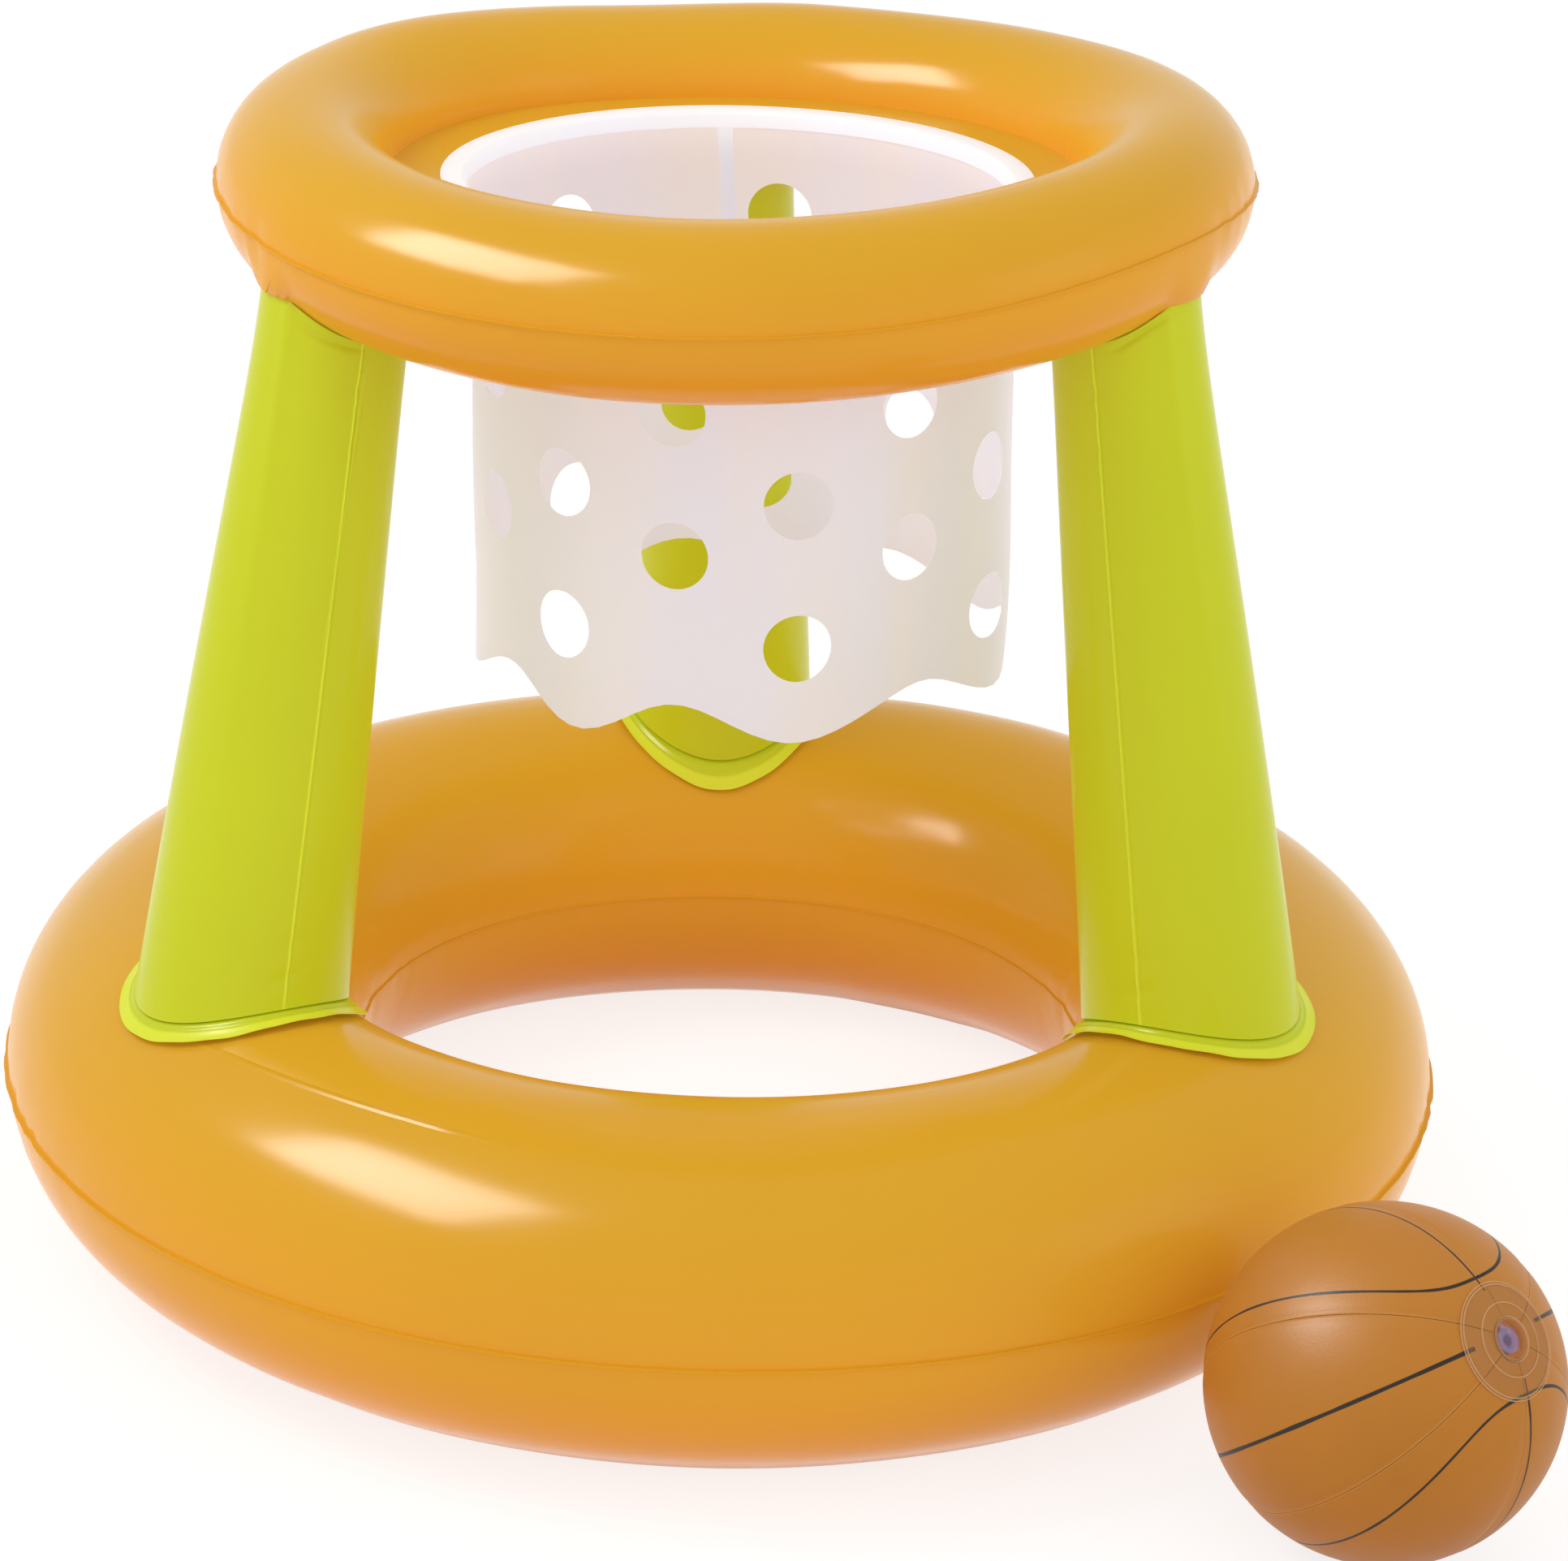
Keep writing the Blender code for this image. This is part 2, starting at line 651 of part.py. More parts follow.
def cap_rows(centre_fall, outer, inner, thickness):
    """Rows of a round patch over a pole of the ball, from its edge to its middle."""
    rows = []
    way = 1 if centre_fall == 0 else -1
    for row in range(FLANGE_ROWS + 1):
        fall = centre_fall + way * math.asin(mix(outer, inner, row / FLANGE_ROWS) / BALL_RADIUS)
        around = [way * turn for turn in turns(VALVE_SEGMENTS)]
        rows.append([ball_point(fall, turn, GAP + thickness) for turn in around])
    return rows


def make_ball(ball):
    """Six welded gores, a clear patch whose well holds the valve, and a small patch over the far pole."""
    for number in range(GORES):
        gore = woven(gore_rows(number), closed=False)
        sheet(f"ball_gore_{number + 1}", gore, "ball_vinyl", ball)
    well_rim = ball_point(math.asin(WELL_RADIUS / BALL_RADIUS), 0, GAP + SHEET).z
    well_floor = well_rim - WELL_DEPTH
    patch_rows = cap_rows(0, VALVE_PATCH_RADIUS, WELL_RADIUS, SHEET)
    for radius in (WELL_RADIUS, STEM_HOLE_RADIUS):
        patch_rows.append([polar(radius, around, well_floor) for around in turns(VALVE_SEGMENTS)])
    sheet("ball_valve_patch", woven(patch_rows), "clear_vinyl", ball)
    end_patch = woven(cap_rows(math.pi, END_PATCH_RADIUS, 0, SHEET))
    sheet("ball_end_patch", end_patch, "ball_vinyl", ball)
    mouth = add_empty("ball_valve", ball, Matrix.Translation((0, 0, well_floor)))
    make_valve("ball", mouth, 0)


def main():
    clear_scene()
    hoop = add_empty("hoop_axis", place=Matrix.Translation(HOOP_PLACE))
    rings = make_rings(hoop)
    for name, turn in LEG_TURNS.items():
        make_leg(name, turn, hoop, rings)
    make_net(hoop)
    make_ring_valve("base", BASE, BASE_VALVE_TURN, hoop, rings["base_upper"])
    make_ring_valve("top", TOP, TOP_VALVE_TURN, hoop, rings["top_upper"])
    pole = Matrix.Rotation(BALL_VALVE_TURN, 4, "Z")
    pole @= Matrix.Rotation(math.pi / 2 - BALL_VALVE_RISE, 4, "Y")
    make_ball(add_empty("ball_centre", place=Matrix.Translation(HOOP_PLACE + BALL_PLACE) @ pole))


main()
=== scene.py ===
import json
import math
import random

import bmesh
import bpy
import numpy as np
from mathutils import Matrix, Vector


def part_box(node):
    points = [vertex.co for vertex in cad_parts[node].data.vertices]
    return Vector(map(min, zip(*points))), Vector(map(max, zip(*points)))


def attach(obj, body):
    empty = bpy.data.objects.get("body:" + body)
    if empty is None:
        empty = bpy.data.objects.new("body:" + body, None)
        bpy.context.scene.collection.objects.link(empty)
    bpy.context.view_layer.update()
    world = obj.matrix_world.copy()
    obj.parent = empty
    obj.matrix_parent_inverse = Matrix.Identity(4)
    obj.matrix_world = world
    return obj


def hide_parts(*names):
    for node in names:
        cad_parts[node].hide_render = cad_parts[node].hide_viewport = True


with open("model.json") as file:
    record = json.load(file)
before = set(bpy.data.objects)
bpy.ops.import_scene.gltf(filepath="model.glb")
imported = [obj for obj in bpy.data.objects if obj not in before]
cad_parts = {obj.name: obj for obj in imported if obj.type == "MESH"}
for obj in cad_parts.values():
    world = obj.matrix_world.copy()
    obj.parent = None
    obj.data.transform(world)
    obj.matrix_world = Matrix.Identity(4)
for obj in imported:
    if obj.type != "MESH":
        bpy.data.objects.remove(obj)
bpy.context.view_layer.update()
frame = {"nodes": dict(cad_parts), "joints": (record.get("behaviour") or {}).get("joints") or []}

print("frame loaded:", len(frame["nodes"]), "nodes")

# The hoop stands on its own axis, which the frame gives
_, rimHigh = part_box("net_rim")
baseLow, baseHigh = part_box("base_ring_upper_sheet")
hoopAxis = Vector(((baseLow.x + baseHigh.x) / 2, (baseLow.y + baseHigh.y) / 2, 0))
sheetWall = 0.0003
weldRise = 0.00034  # from the seam's middle to the outer face of one sheet's weld


# Camera at the photograph's angle
cameraSet = {
    "place": (-0.0238, -2.0628, 1.0275),
    "turn": (68.668, -1.313, -0.708),  # degrees
    "lens": 111.09,
    "sensor": 36,
}


def addCamera():
    bpy.ops.object.select_all(action="DESELECT")
    turn = [math.radians(angle) for angle in cameraSet["turn"]]
    bpy.ops.object.camera_add(location=cameraSet["place"], rotation=turn)
    camera = bpy.context.object
    camera.name = "photoCamera"
    camera.data.lens = cameraSet["lens"]
    camera.data.sensor_width = cameraSet["sensor"]
    camera.data.clip_end = 50
    bpy.context.scene.camera = camera


addCamera()
bpy.context.scene.view_settings.view_transform = "Standard"
print("camera ready")


# Small helpers for shaping

def begin():
    if bpy.context.object and bpy.context.object.mode != "OBJECT":
        bpy.ops.object.mode_set(mode="OBJECT")
    bpy.ops.object.select_all(action="DESELECT")


def named(name):
    piece = bpy.context.object
    piece.name = name
    piece.data.name = name
    return piece


def takeHold(piece):
    begin()
    piece.select_set(True)
    bpy.context.view_layer.objects.active = piece


def freezePlace(piece):
    takeHold(piece)
    bpy.ops.object.transform_apply(location=True, rotation=True, scale=True)


def edit(piece, kind):
    takeHold(piece)
    bpy.ops.object.mode_set(mode="EDIT")
    bpy.ops.mesh.select_mode(type="EDGE" if kind == 1 else "FACE")
    bpy.ops.mesh.select_all(action="DESELECT")


# Selects the edges (1) or faces (2) whose middle passes the test
def pick(piece, kind, test):
    shape = bmesh.from_edit_mesh(piece.data)
    for part in shape.edges if kind == 1 else shape.faces:
        middle = sum((corner.co for corner in part.verts), Vector()) / len(part.verts)
        part.select_set(bool(test(part, middle)))
    bmesh.update_edit_mesh(piece.data)


def leave():
    bpy.ops.object.mode_set(mode="OBJECT")


def openWhole(piece):
    takeHold(piece)
    bpy.ops.object.mode_set(mode="EDIT")
    bpy.ops.mesh.select_mode(type="EDGE")
    bpy.ops.mesh.select_all(action="SELECT")


def alignFaces(piece):
    openWhole(piece)
    bpy.ops.mesh.normals_make_consistent(inside=False)
    leave()


# Turns an open shell so that its highest face looks up, or its lowest face down
def outward(piece, up=True):
    piece.data.update()
    highest = max(piece.data.polygons, key=lambda face: face.center.z if up else -face.center.z)
    if (highest.normal.z > 0) != up:
        openWhole(piece)
        bpy.ops.mesh.flip_normals()
        leave()


def pointsOf(piece):
    found = np.empty(len(piece.data.vertices) * 3)
    piece.data.vertices.foreach_get("co", found)
    return found.reshape(-1, 3)


def movePoints(piece, moved):
    piece.data.vertices.foreach_set("co", np.asarray(moved, dtype=np.float32).ravel())
    piece.data.update()


def applyAll(piece):
    takeHold(piece)
    for modifier in list(piece.modifiers):
        bpy.ops.object.modifier_apply(modifier=modifier.name)


# Joins the other piece on, or cuts it away
def combine(piece, other, operation):
    change = piece.modifiers.new("combined", "BOOLEAN")
    change.operation = operation
    change.solver = "EXACT"
    change.object = other
    applyAll(piece)
    bpy.data.objects.remove(other)


def addBlock(name, size, middle):
    begin()
    bpy.ops.mesh.primitive_cube_add(size=1, location=middle, scale=size)
    piece = named(name)
    freezePlace(piece)
    return piece


def thicken(piece, wall=sheetWall):
    solid = piece.modifiers.new("wall", "SOLIDIFY")
    solid.thickness = wall
    solid.offset = -1
    solid.use_even_offset = True
    applyAll(piece)


def smoothShade(piece, degrees=40):
    takeHold(piece)
    bpy.ops.object.shade_smooth_by_angle(angle=math.radians(degrees))


def place(piece, matrix):
    piece.data.transform(matrix)
    piece.data.update()


# Gives a sheet its wall and stands it on the hoop's axis
def finishSheet(piece, degrees=40, wall=sheetWall, aside=0):
    thicken(piece, wall)
    place(piece, Matrix.Translation(hoopAxis + Vector((aside, 0, 0))))
    smoothShade(piece, degrees)


def copyOf(piece, name):
    twin = piece.copy()
    twin.data = piece.data.copy()
    twin.name = name
    twin.data.name = name
    bpy.context.scene.collection.objects.link(twin)
    return twin


# Draws the selected open edge out from one (reach, height) to the next
def drawOut(start, end):
    step = (0, 0, end[1] - start[1])
    bpy.ops.mesh.extrude_region_move(TRANSFORM_OT_translate={"value": step})
    if end[0] == 0:
        bpy.ops.mesh.merge(type="CENTER")
    else:
        share = end[0] / start[0]
        bpy.ops.transform.resize(value=(share, share, 1), center_override=(0, 0, end[1]))


# A circle drawn out row by row along (reach, height) points, as on a lathe
def turnedPiece(name, profile, segments, closed=False):
    begin()
    reach, height = profile[0]
    bpy.ops.mesh.primitive_circle_add(vertices=segments, radius=reach, location=(0, 0, height))
    piece = named(name)
    freezePlace(piece)
    openWhole(piece)
    for row, nextRow in zip(profile, profile[1:]):
        drawOut(row, nextRow)
    if closed:
        bpy.ops.mesh.select_all(action="SELECT")
        bpy.ops.mesh.remove_doubles(threshold=0.00002)
    leave()
    alignFaces(piece)
    return piece


def mix(start, end, share):
    return start + (end - start) * share


def smoothStep(value, low, high):
    share = np.clip((value - low) / (high - low), 0, 1)
    return share * share * (3 - 2 * share)


# 1 in the middle, and down to 1/e at the width
def bell(off, width):
    return np.exp(-((off / width) ** 2))


# How far the points are from the axis, and their turns round it
def turnsOf(points):
    return np.hypot(points[:, 0], points[:, 1]), np.arctan2(points[:, 1], points[:, 0])


def atTurns(reach, turn, height):
    return np.stack([reach * np.cos(turn), reach * np.sin(turn), height], axis=1)


# The way from one turn to another, from -pi to pi
def around(turn, at):
    return (turn - at + math.pi) % (2 * math.pi) - math.pi


# Stores for each vertex how far it belongs to a weld, where the materials paint the lighter weld colour as a
# painted highlight
def markWeldHighlight(piece, shares):
    marks = piece.data.attributes.new("weld", "FLOAT", "POINT")
    marks.data.foreach_set("value", np.asarray(shares, dtype=np.float32))


def jointOf(name):
    return next(joint for joint in frame["joints"] if joint["name"] == name)


# The turn round the hoop at which each ring's valve stands
valveTurn = {}
for name in ("base", "top"):
    valveWay = Vector(jointOf(name + "_cap_hinge")["pos_m"]) - hoopAxis
    valveTurn[name] = math.atan2(valveWay.y, valveWay.x)


# Rings: two sheets each, welded at the outer and the inner seam
baseRing = {
    "radius": 0.2525,
    "halfWidth": 0.082,
    "halfHeight": 0.0768,
    "seamHeight": 0.0787,
    "segments": 1200,
    "rows": 68,
    "lip": 0.0018,
    "tilt": -0.0009,
    "shift": (0.0007, -0.001),
    "valveRise": 0.0006,
    "valveClear": (math.radians(6), math.radians(40)),
    "footprint": 0.86,  # the sine of the slope from which the lower sheet bears on the ground
    "twist": (0, 0, 1),  # how far the outer seam climbs, where, and how wide
    "calmFolds": 0.35,  # the share of the folds' depth at the front and the back
    "outerFolds": {
        "count": 210,
        "depth": (0.0001, 0.0006),
        "width": (0.0012, 0.0035),
        "length": (0.006, 0.022),
    },
    "innerFolds": {
        "count": 90,
        "depth": (0.0001, 0.0008),
        "width": (0.0015, 0.0045),
        "length": (0.008, 0.03),
    },
    "swell": 0.00055,
}
topRing = {
    "radius": 0.192,
    "halfWidth": 0.038,
    "halfHeight": 0.0375,
    "seamHeight": 0.4954,
    "segments": 1000,
    "rows": 52,
    "lip": 0.0016,
    "twist": (math.radians(9.5), math.radians(-38), math.radians(28)),
    "calmFolds": 0.75,
    "outerFolds": {
        "count": 230,
        "depth": (0.0001, 0.0006),
        "width": (0.001, 0.0035),
        "length": (0.005, 0.02),
    },
    "innerFolds": {
        "count": 60,
        "depth": (0.0001, 0.0006),
        "width": (0.0012, 0.004),
        "length": (0.005, 0.016),
    },
    "swell": 0.0004,
    "sag": 0.0052,
    "sagTurn": math.radians(-15),
    "drop": 0.0021,
    "tilt": 0.0043,
    "tiltTurn": math.radians(59),
    "softSag": 0.0042,
    "backShift": 0.0053,
    "valveRise": 0,
    "valveClear": (math.radians(9), math.radians(40)),
    # where the legs are welded under it, as they stand at their tops
    "legSeat": {
        "turns": [math.radians(turn) for turn in (-151.25, -31.25, 91)],
        "reach": 0.196,
        "radius": 0.0336,
        "level": 0.56,
        "spread": 0.5,
    },
    "flangeSteps": (0.004, 0.010, 0.016),
    "flangeSeat": 0.132,
    "flangeEdge": 0.1285,
}
valveBlend = (math.radians(5), math.radians(12.5))
foldLean = 0.25
rowGather = 0.6  # how much closer the rows lie at the seams than on the tube's back
baseTopHeight = baseRing["seamHeight"] + baseRing["halfHeight"]
topBottomHeight = topRing["seamHeight"] - topRing["halfHeight"]


# How far a turn stands clear of the ring's valve, from 0 to 1
def clearOfValve(turn, name, ring):
    return smoothStep(np.abs(around(turn, valveTurn[name])), *ring["valveClear"])


# The soft top ring sags at the front and the back and rises at its sides, and the legs follow.
# Beside its valve it keeps the solids' own sag, so that the valve sits in its skin. The base
# ring stands a little higher on one side.
def settled(points):
    reach, turn = turnsOf(points)
    high = smoothStep(points[:, 2], baseTopHeight, topBottomHeight)
    low = (1 - high) * clearOfValve(turn, "base", baseRing)
    share = high * smoothStep(reach, topRing["flangeSeat"], topRing["radius"])
    free = clearOfValve(turn, "top", topRing)
    twice = np.cos(2 * (turn - topRing["sagTurn"]))
    leaning = topRing["tilt"] * np.cos(turn - topRing["tiltTurn"]) - topRing["drop"]
    moved = points.copy()
    moved[:, :2] += low[:, None] * np.array(baseRing["shift"])
    moved[:, 2] += low * baseRing["tilt"] * np.cos(turn)
    moved[:, 2] += share * mix(topRing["sag"] * twice, topRing["softSag"] * twice + leaning, free)
    moved[:, 1] += share * free * topRing["backShift"]
    return moved


# How far the small folds pull the skin in, where the tube is gathered into its weld
def folds(turn, away, style, reach, seed, calm):
    draw = random.Random(seed)
    pull = np.zeros_like(turn)
    for _ in range(style["count"]):
        at = draw.uniform(-math.pi, math.pi)
        width = draw.uniform(*style["width"]) / reach
        length = draw.uniform(*style["length"])
        depth = draw.uniform(*style["depth"]) * mix(calm, 1, abs(math.cos(at)) ** 3)
        lean = draw.uniform(-foldLean, foldLean)
        near = np.abs(around(turn, at + lean * away / reach)) < 4 * width
        off = around(turn[near], at + lean * away[near] / reach)
        pull[near] += depth * bell(off, width) * bell(away[near], length)
    return pull


# Long, low waves over blown-up vinyl, from -1 to 1
def swell(turn, slope, seed):
    draw = random.Random(seed)
    wave = np.zeros_like(turn)
    for count in (2, 3, 5, 7, 11):
        wave += np.sin(count * turn + draw.uniform(0, 6) + slope * draw.uniform(-2, 2)) / 5
    return wave


def ringShell(name, ring, upper, seed):
    begin()
    bpy.ops.mesh.primitive_torus_add(
        major_segments=ring["segments"],
        minor_segments=ring["rows"],
        major_radius=ring["radius"],
        minor_radius=ring["halfWidth"],
    )
    piece = named(name)
    edit(piece, 2)
    side = 1 if upper else -1
    pick(piece, 2, lambda face, middle: middle.z * side < 0)
    bpy.ops.mesh.delete(type="FACE")
    leave()
    # rows closer at the seams, folds at the welds, and the tube's own height
    points = pointsOf(piece)
    reach, turn = turnsOf(points)
    slope = np.abs(np.arctan2(points[:, 2], reach - ring["radius"]))
    slope -= rowGather * np.sin(2 * slope) / 2
    tube = (ring["halfWidth"] + ring["halfHeight"]) / 2
    edges = {"outerFolds": (slope, 1, seed), "innerFolds": (math.pi - slope, -1, seed + 1)}
    pull = 0
    for style, (fall, way, number) in edges.items():
        edge = ring["radius"] + way * ring["halfWidth"]
        pull = pull + folds(turn, fall * tube, ring[style], edge, number, ring["calmFolds"])
    pull -= ring["swell"] * swell(turn, slope * side, seed + 2) * np.sin(slope) ** 2
    near = np.abs(around(turn, valveTurn["base"]))
    pull -= ring["valveRise"] * (1 - smoothStep(near, *valveBlend)) * np.sin(slope)
    # the outer seam climbs over part of the ring
    most, at, spread = ring["twist"]
    climbMost = most * bell(around(turn, at), spread)
    climb = climbMost * (1 - slope / math.pi)
    reach = ring["radius"] + (ring["halfWidth"] - pull) * np.cos(side * slope + climb)
    seam = np.where(slope < math.pi / 2, ring["halfHeight"] * np.sin(climb), 0)
    rise = (ring["halfHeight"] - pull) * np.sin(side * slope + climb) - seam
    if not upper and "legSeat" in ring:
        rise -= ring["halfHeight"] * drawnDown(turn, slope - climb, -climbMost, ring)
    rise = seam + side * np.maximum(side * rise, weldRise)
    movePoints(piece, atTurns(reach, turn, rise))
    return piece


# The legs draw the lower sheet down, from the outer seam to the weld round their tops
def drawnDown(turn, slope, seam, ring):
    seat = ring["legSeat"]
    extra = np.zeros_like(turn)
    for at in seat["turns"]:
        off = around(turn, at)
        square = seat["radius"] ** 2 - (seat["reach"] * np.sin(off)) ** 2
        edge = seat["reach"] * np.cos(off) + np.sqrt(np.maximum(square, 0))
        weld = np.arccos(np.clip((edge - ring["radius"]) / ring["halfWidth"], -1, 0.99))
        outside = mix(np.sin(seam), seat["level"], (slope - seam) / (weld - seam))
        inside = mix(seat["level"], 1, smoothStep(slope, weld, math.pi / 2))
        level = np.where(slope < weld, outside, inside)
        near = (square > 0) & (np.abs(off) < seat["spread"]) & (slope < math.pi / 2)
        extra = np.where(near, np.maximum(level - np.sin(slope), 0), extra)
    return extra


# Draws the open outer or inner edge out into a flat band that ends at the last reach
def weldEdge(piece, ring, reaches, outer):
    edit(piece, 1)
    middle = ring["radius"]
    pick(piece, 1, lambda edge, at: edge.is_boundary and (at.xy.length > middle) == outer)
    start = middle + ring["halfWidth"] if outer else middle - ring["halfWidth"]
    for reach in reaches:
        drawOut((start, 0), (reach, 0))
        start = reach
    leave()


def makeRing(name, ring, upper, seed, innerReaches, ground):
    piece = ringShell(name, ring, upper, seed)
    weldEdge(piece, ring, [ring["radius"] + ring["halfWidth"] + ring["lip"]], True)
    weldEdge(piece, ring, innerReaches, False)
    points = pointsOf(piece)
    away = turnsOf(points)[0] - ring["radius"]
    away = np.abs(away) if ground else away
    seam = ring["halfWidth"]
    # the seam lips carry the painted weld highlight
    markWeldHighlight(piece, smoothStep(away, seam + weldRise / 2, seam + 2 * weldRise))
    points[:, 2] += ring["seamHeight"]
    points = settled(points)
    if ground and not upper:
        depth = (ring["seamHeight"] - points[:, 2]) / ring["halfHeight"]
        bearing = smoothStep(depth, ring["footprint"], 1)
        points[:, 2] = np.maximum(points[:, 2] * (1 - bearing), 0)
    movePoints(piece, points)
    alignFaces(piece)
    outward(piece, upper)
    thicken(piece)
    place(piece, Matrix.Translation(hoopAxis))
    return piece


baseInner = [baseRing["radius"] - baseRing["halfWidth"] - baseRing["lip"] / 2]
topInner = topRing["radius"] - topRing["halfWidth"]
topFlange = [topInner - step for step in topRing["flangeSteps"]]
topFlange += [topRing["flangeSeat"], topRing["flangeEdge"]]
baseUpper = makeRing("baseRingUpper", baseRing, True, 11, baseInner, True)
baseLower = makeRing("baseRingLower", baseRing, False, 11, baseInner, True)
topUpper = makeRing("topRingUpper", topRing, True, 31, topFlange, False)
topLower = makeRing("topRingLower", topRing, False, 31, topFlange, False)
print("rings made")


# Legs: a rolled side sheet with one upright weld, on a foot sheet with a flared lip
legs = {
    "turns": {"left": math.radians(-150), "right": math.radians(-30), "back": math.radians(90)},
    "weldAt": {"left": math.radians(86), "right": math.radians(-91), "back": math.radians(8)},
    "lean": {"left": math.radians(-1.25), "right": math.radians(-1.25), "back": math.radians(1)},
    "topFlare": 0.001,
    "footShift": {"left": (-0.0044, -0.0021), "right": (-0.0013, -0.001), "back": (-0.002, 0.001)},
    "footRadius": 0.0474,
    "footSpread": {"left": 0, "right": 0.0015, "back": 0},
    "topRadius": 0.032,
    "footInset": 0.0108,
    "topOffset": 0.004,
    "seatGap": 0.0007,
    "segments": 240,
    "rows": 120,
    "columnGather": 0.86,
    "rowGather": 0.8,
    "weldHeight": 0.0006,
    "weldWidth": 0.0005,
    "weldGroove": 0.0004,
    "grooveAt": 2.2,  # in widths of the weld
    "weldHighlightWidth": 1.3,
    "swell": 0.0007,
    "crease": 0.0014,
    "creaseDrop": 0.0042,
    "creaseBow": 0.0015,
    "creaseWidth": 0.0016,
    "creaseSpread": 0.42,
    "creaseAt": {"left": math.radians(2), "right": math.radians(10), "back": math.radians(170)},
    "bandAt": {"left": math.radians(-35), "right": math.radians(29), "back": math.radians(150)},
    "bandDrift": 0.15,
    "bandSpread": 0.11,
    "bandRise": 0.0009,
    "bandEnds": (0.15, 0.8),
    # shares up the leg, and depths
    "puckers": ((0.93, 0.0009), (0.90, 0.0006), (0.85, 0.0006), (0.05, 0.0006), (0.1, 0.0004)),
    "puckerSlant": 0.9,
    "puckerWidth": 0.009,
    "calmEnds": (1 / 60, 1 / 150),
}
foot = {
    "radius": 0.0548,
    "wallRadius": 0.0483,
    "rise": 0.0042,
    "flare": 0.0012,
    "ripple": 0.0007,
    "waves": ((5, 1, 1), (9, 2, 0.6), (17, 1, 0.4)),  # how many round the foot, their start and size
    "groove": 0.0005,
    "grooveAt": 0.0012,
    "grooveWidth": 0.0007,
    "weldFrom": 0.003,
    "lipShare": 0.15,
    "lipRows": 24,
    "seatShares": (0.84, 0.76, 0.64, 0.5, 0.34, 0.18, 0),
}
footReach = baseRing["radius"] - legs["footInset"]
legTopReach = topRing["radius"] + legs["topOffset"]
meetingHalvings = 40


def legSkin(side, share, about, push):
    turn = legs["turns"][side]
    reach = mix(footReach, legTopReach, share)
    radius = mix(legs["footRadius"] + legs["footSpread"][side], legs["topRadius"], share) + push
    radius = radius + legs["topFlare"] * np.clip(share, 0, 1.1) ** 14
    middle = turn + legs["lean"][side] * share
    x = reach * np.cos(middle) + radius * np.cos(turn + about) + (1 - share) * legs["footShift"][side][0]
    y = reach * np.sin(middle) + radius * np.sin(turn + about) + (1 - share) * legs["footShift"][side][1]
    return np.stack([x, y, mix(baseTopHeight, topBottomHeight, share)], axis=1)


# The share up the leg at which its skin meets the ring's, found by halving
def meeting(side, about, ring, out, outside, inside):
    outside = np.full_like(about, outside)
    inside = np.full_like(about, inside)
    for _ in range(meetingHalvings):
        middle = (outside + inside) / 2
        at = legSkin(side, middle, about, 0)
        across = (np.hypot(at[:, 0], at[:, 1]) - ring["radius"]) / (ring["halfWidth"] + out)
        up = (at[:, 2] - ring["seamHeight"]) / (ring["halfHeight"] + out)
        clear = across**2 + up**2 > 1
        outside = np.where(clear, middle, outside)
        inside = np.where(clear, inside, middle)
    return outside


def shareAt(height):
    return (height - baseTopHeight) / (topBottomHeight - baseTopHeight)


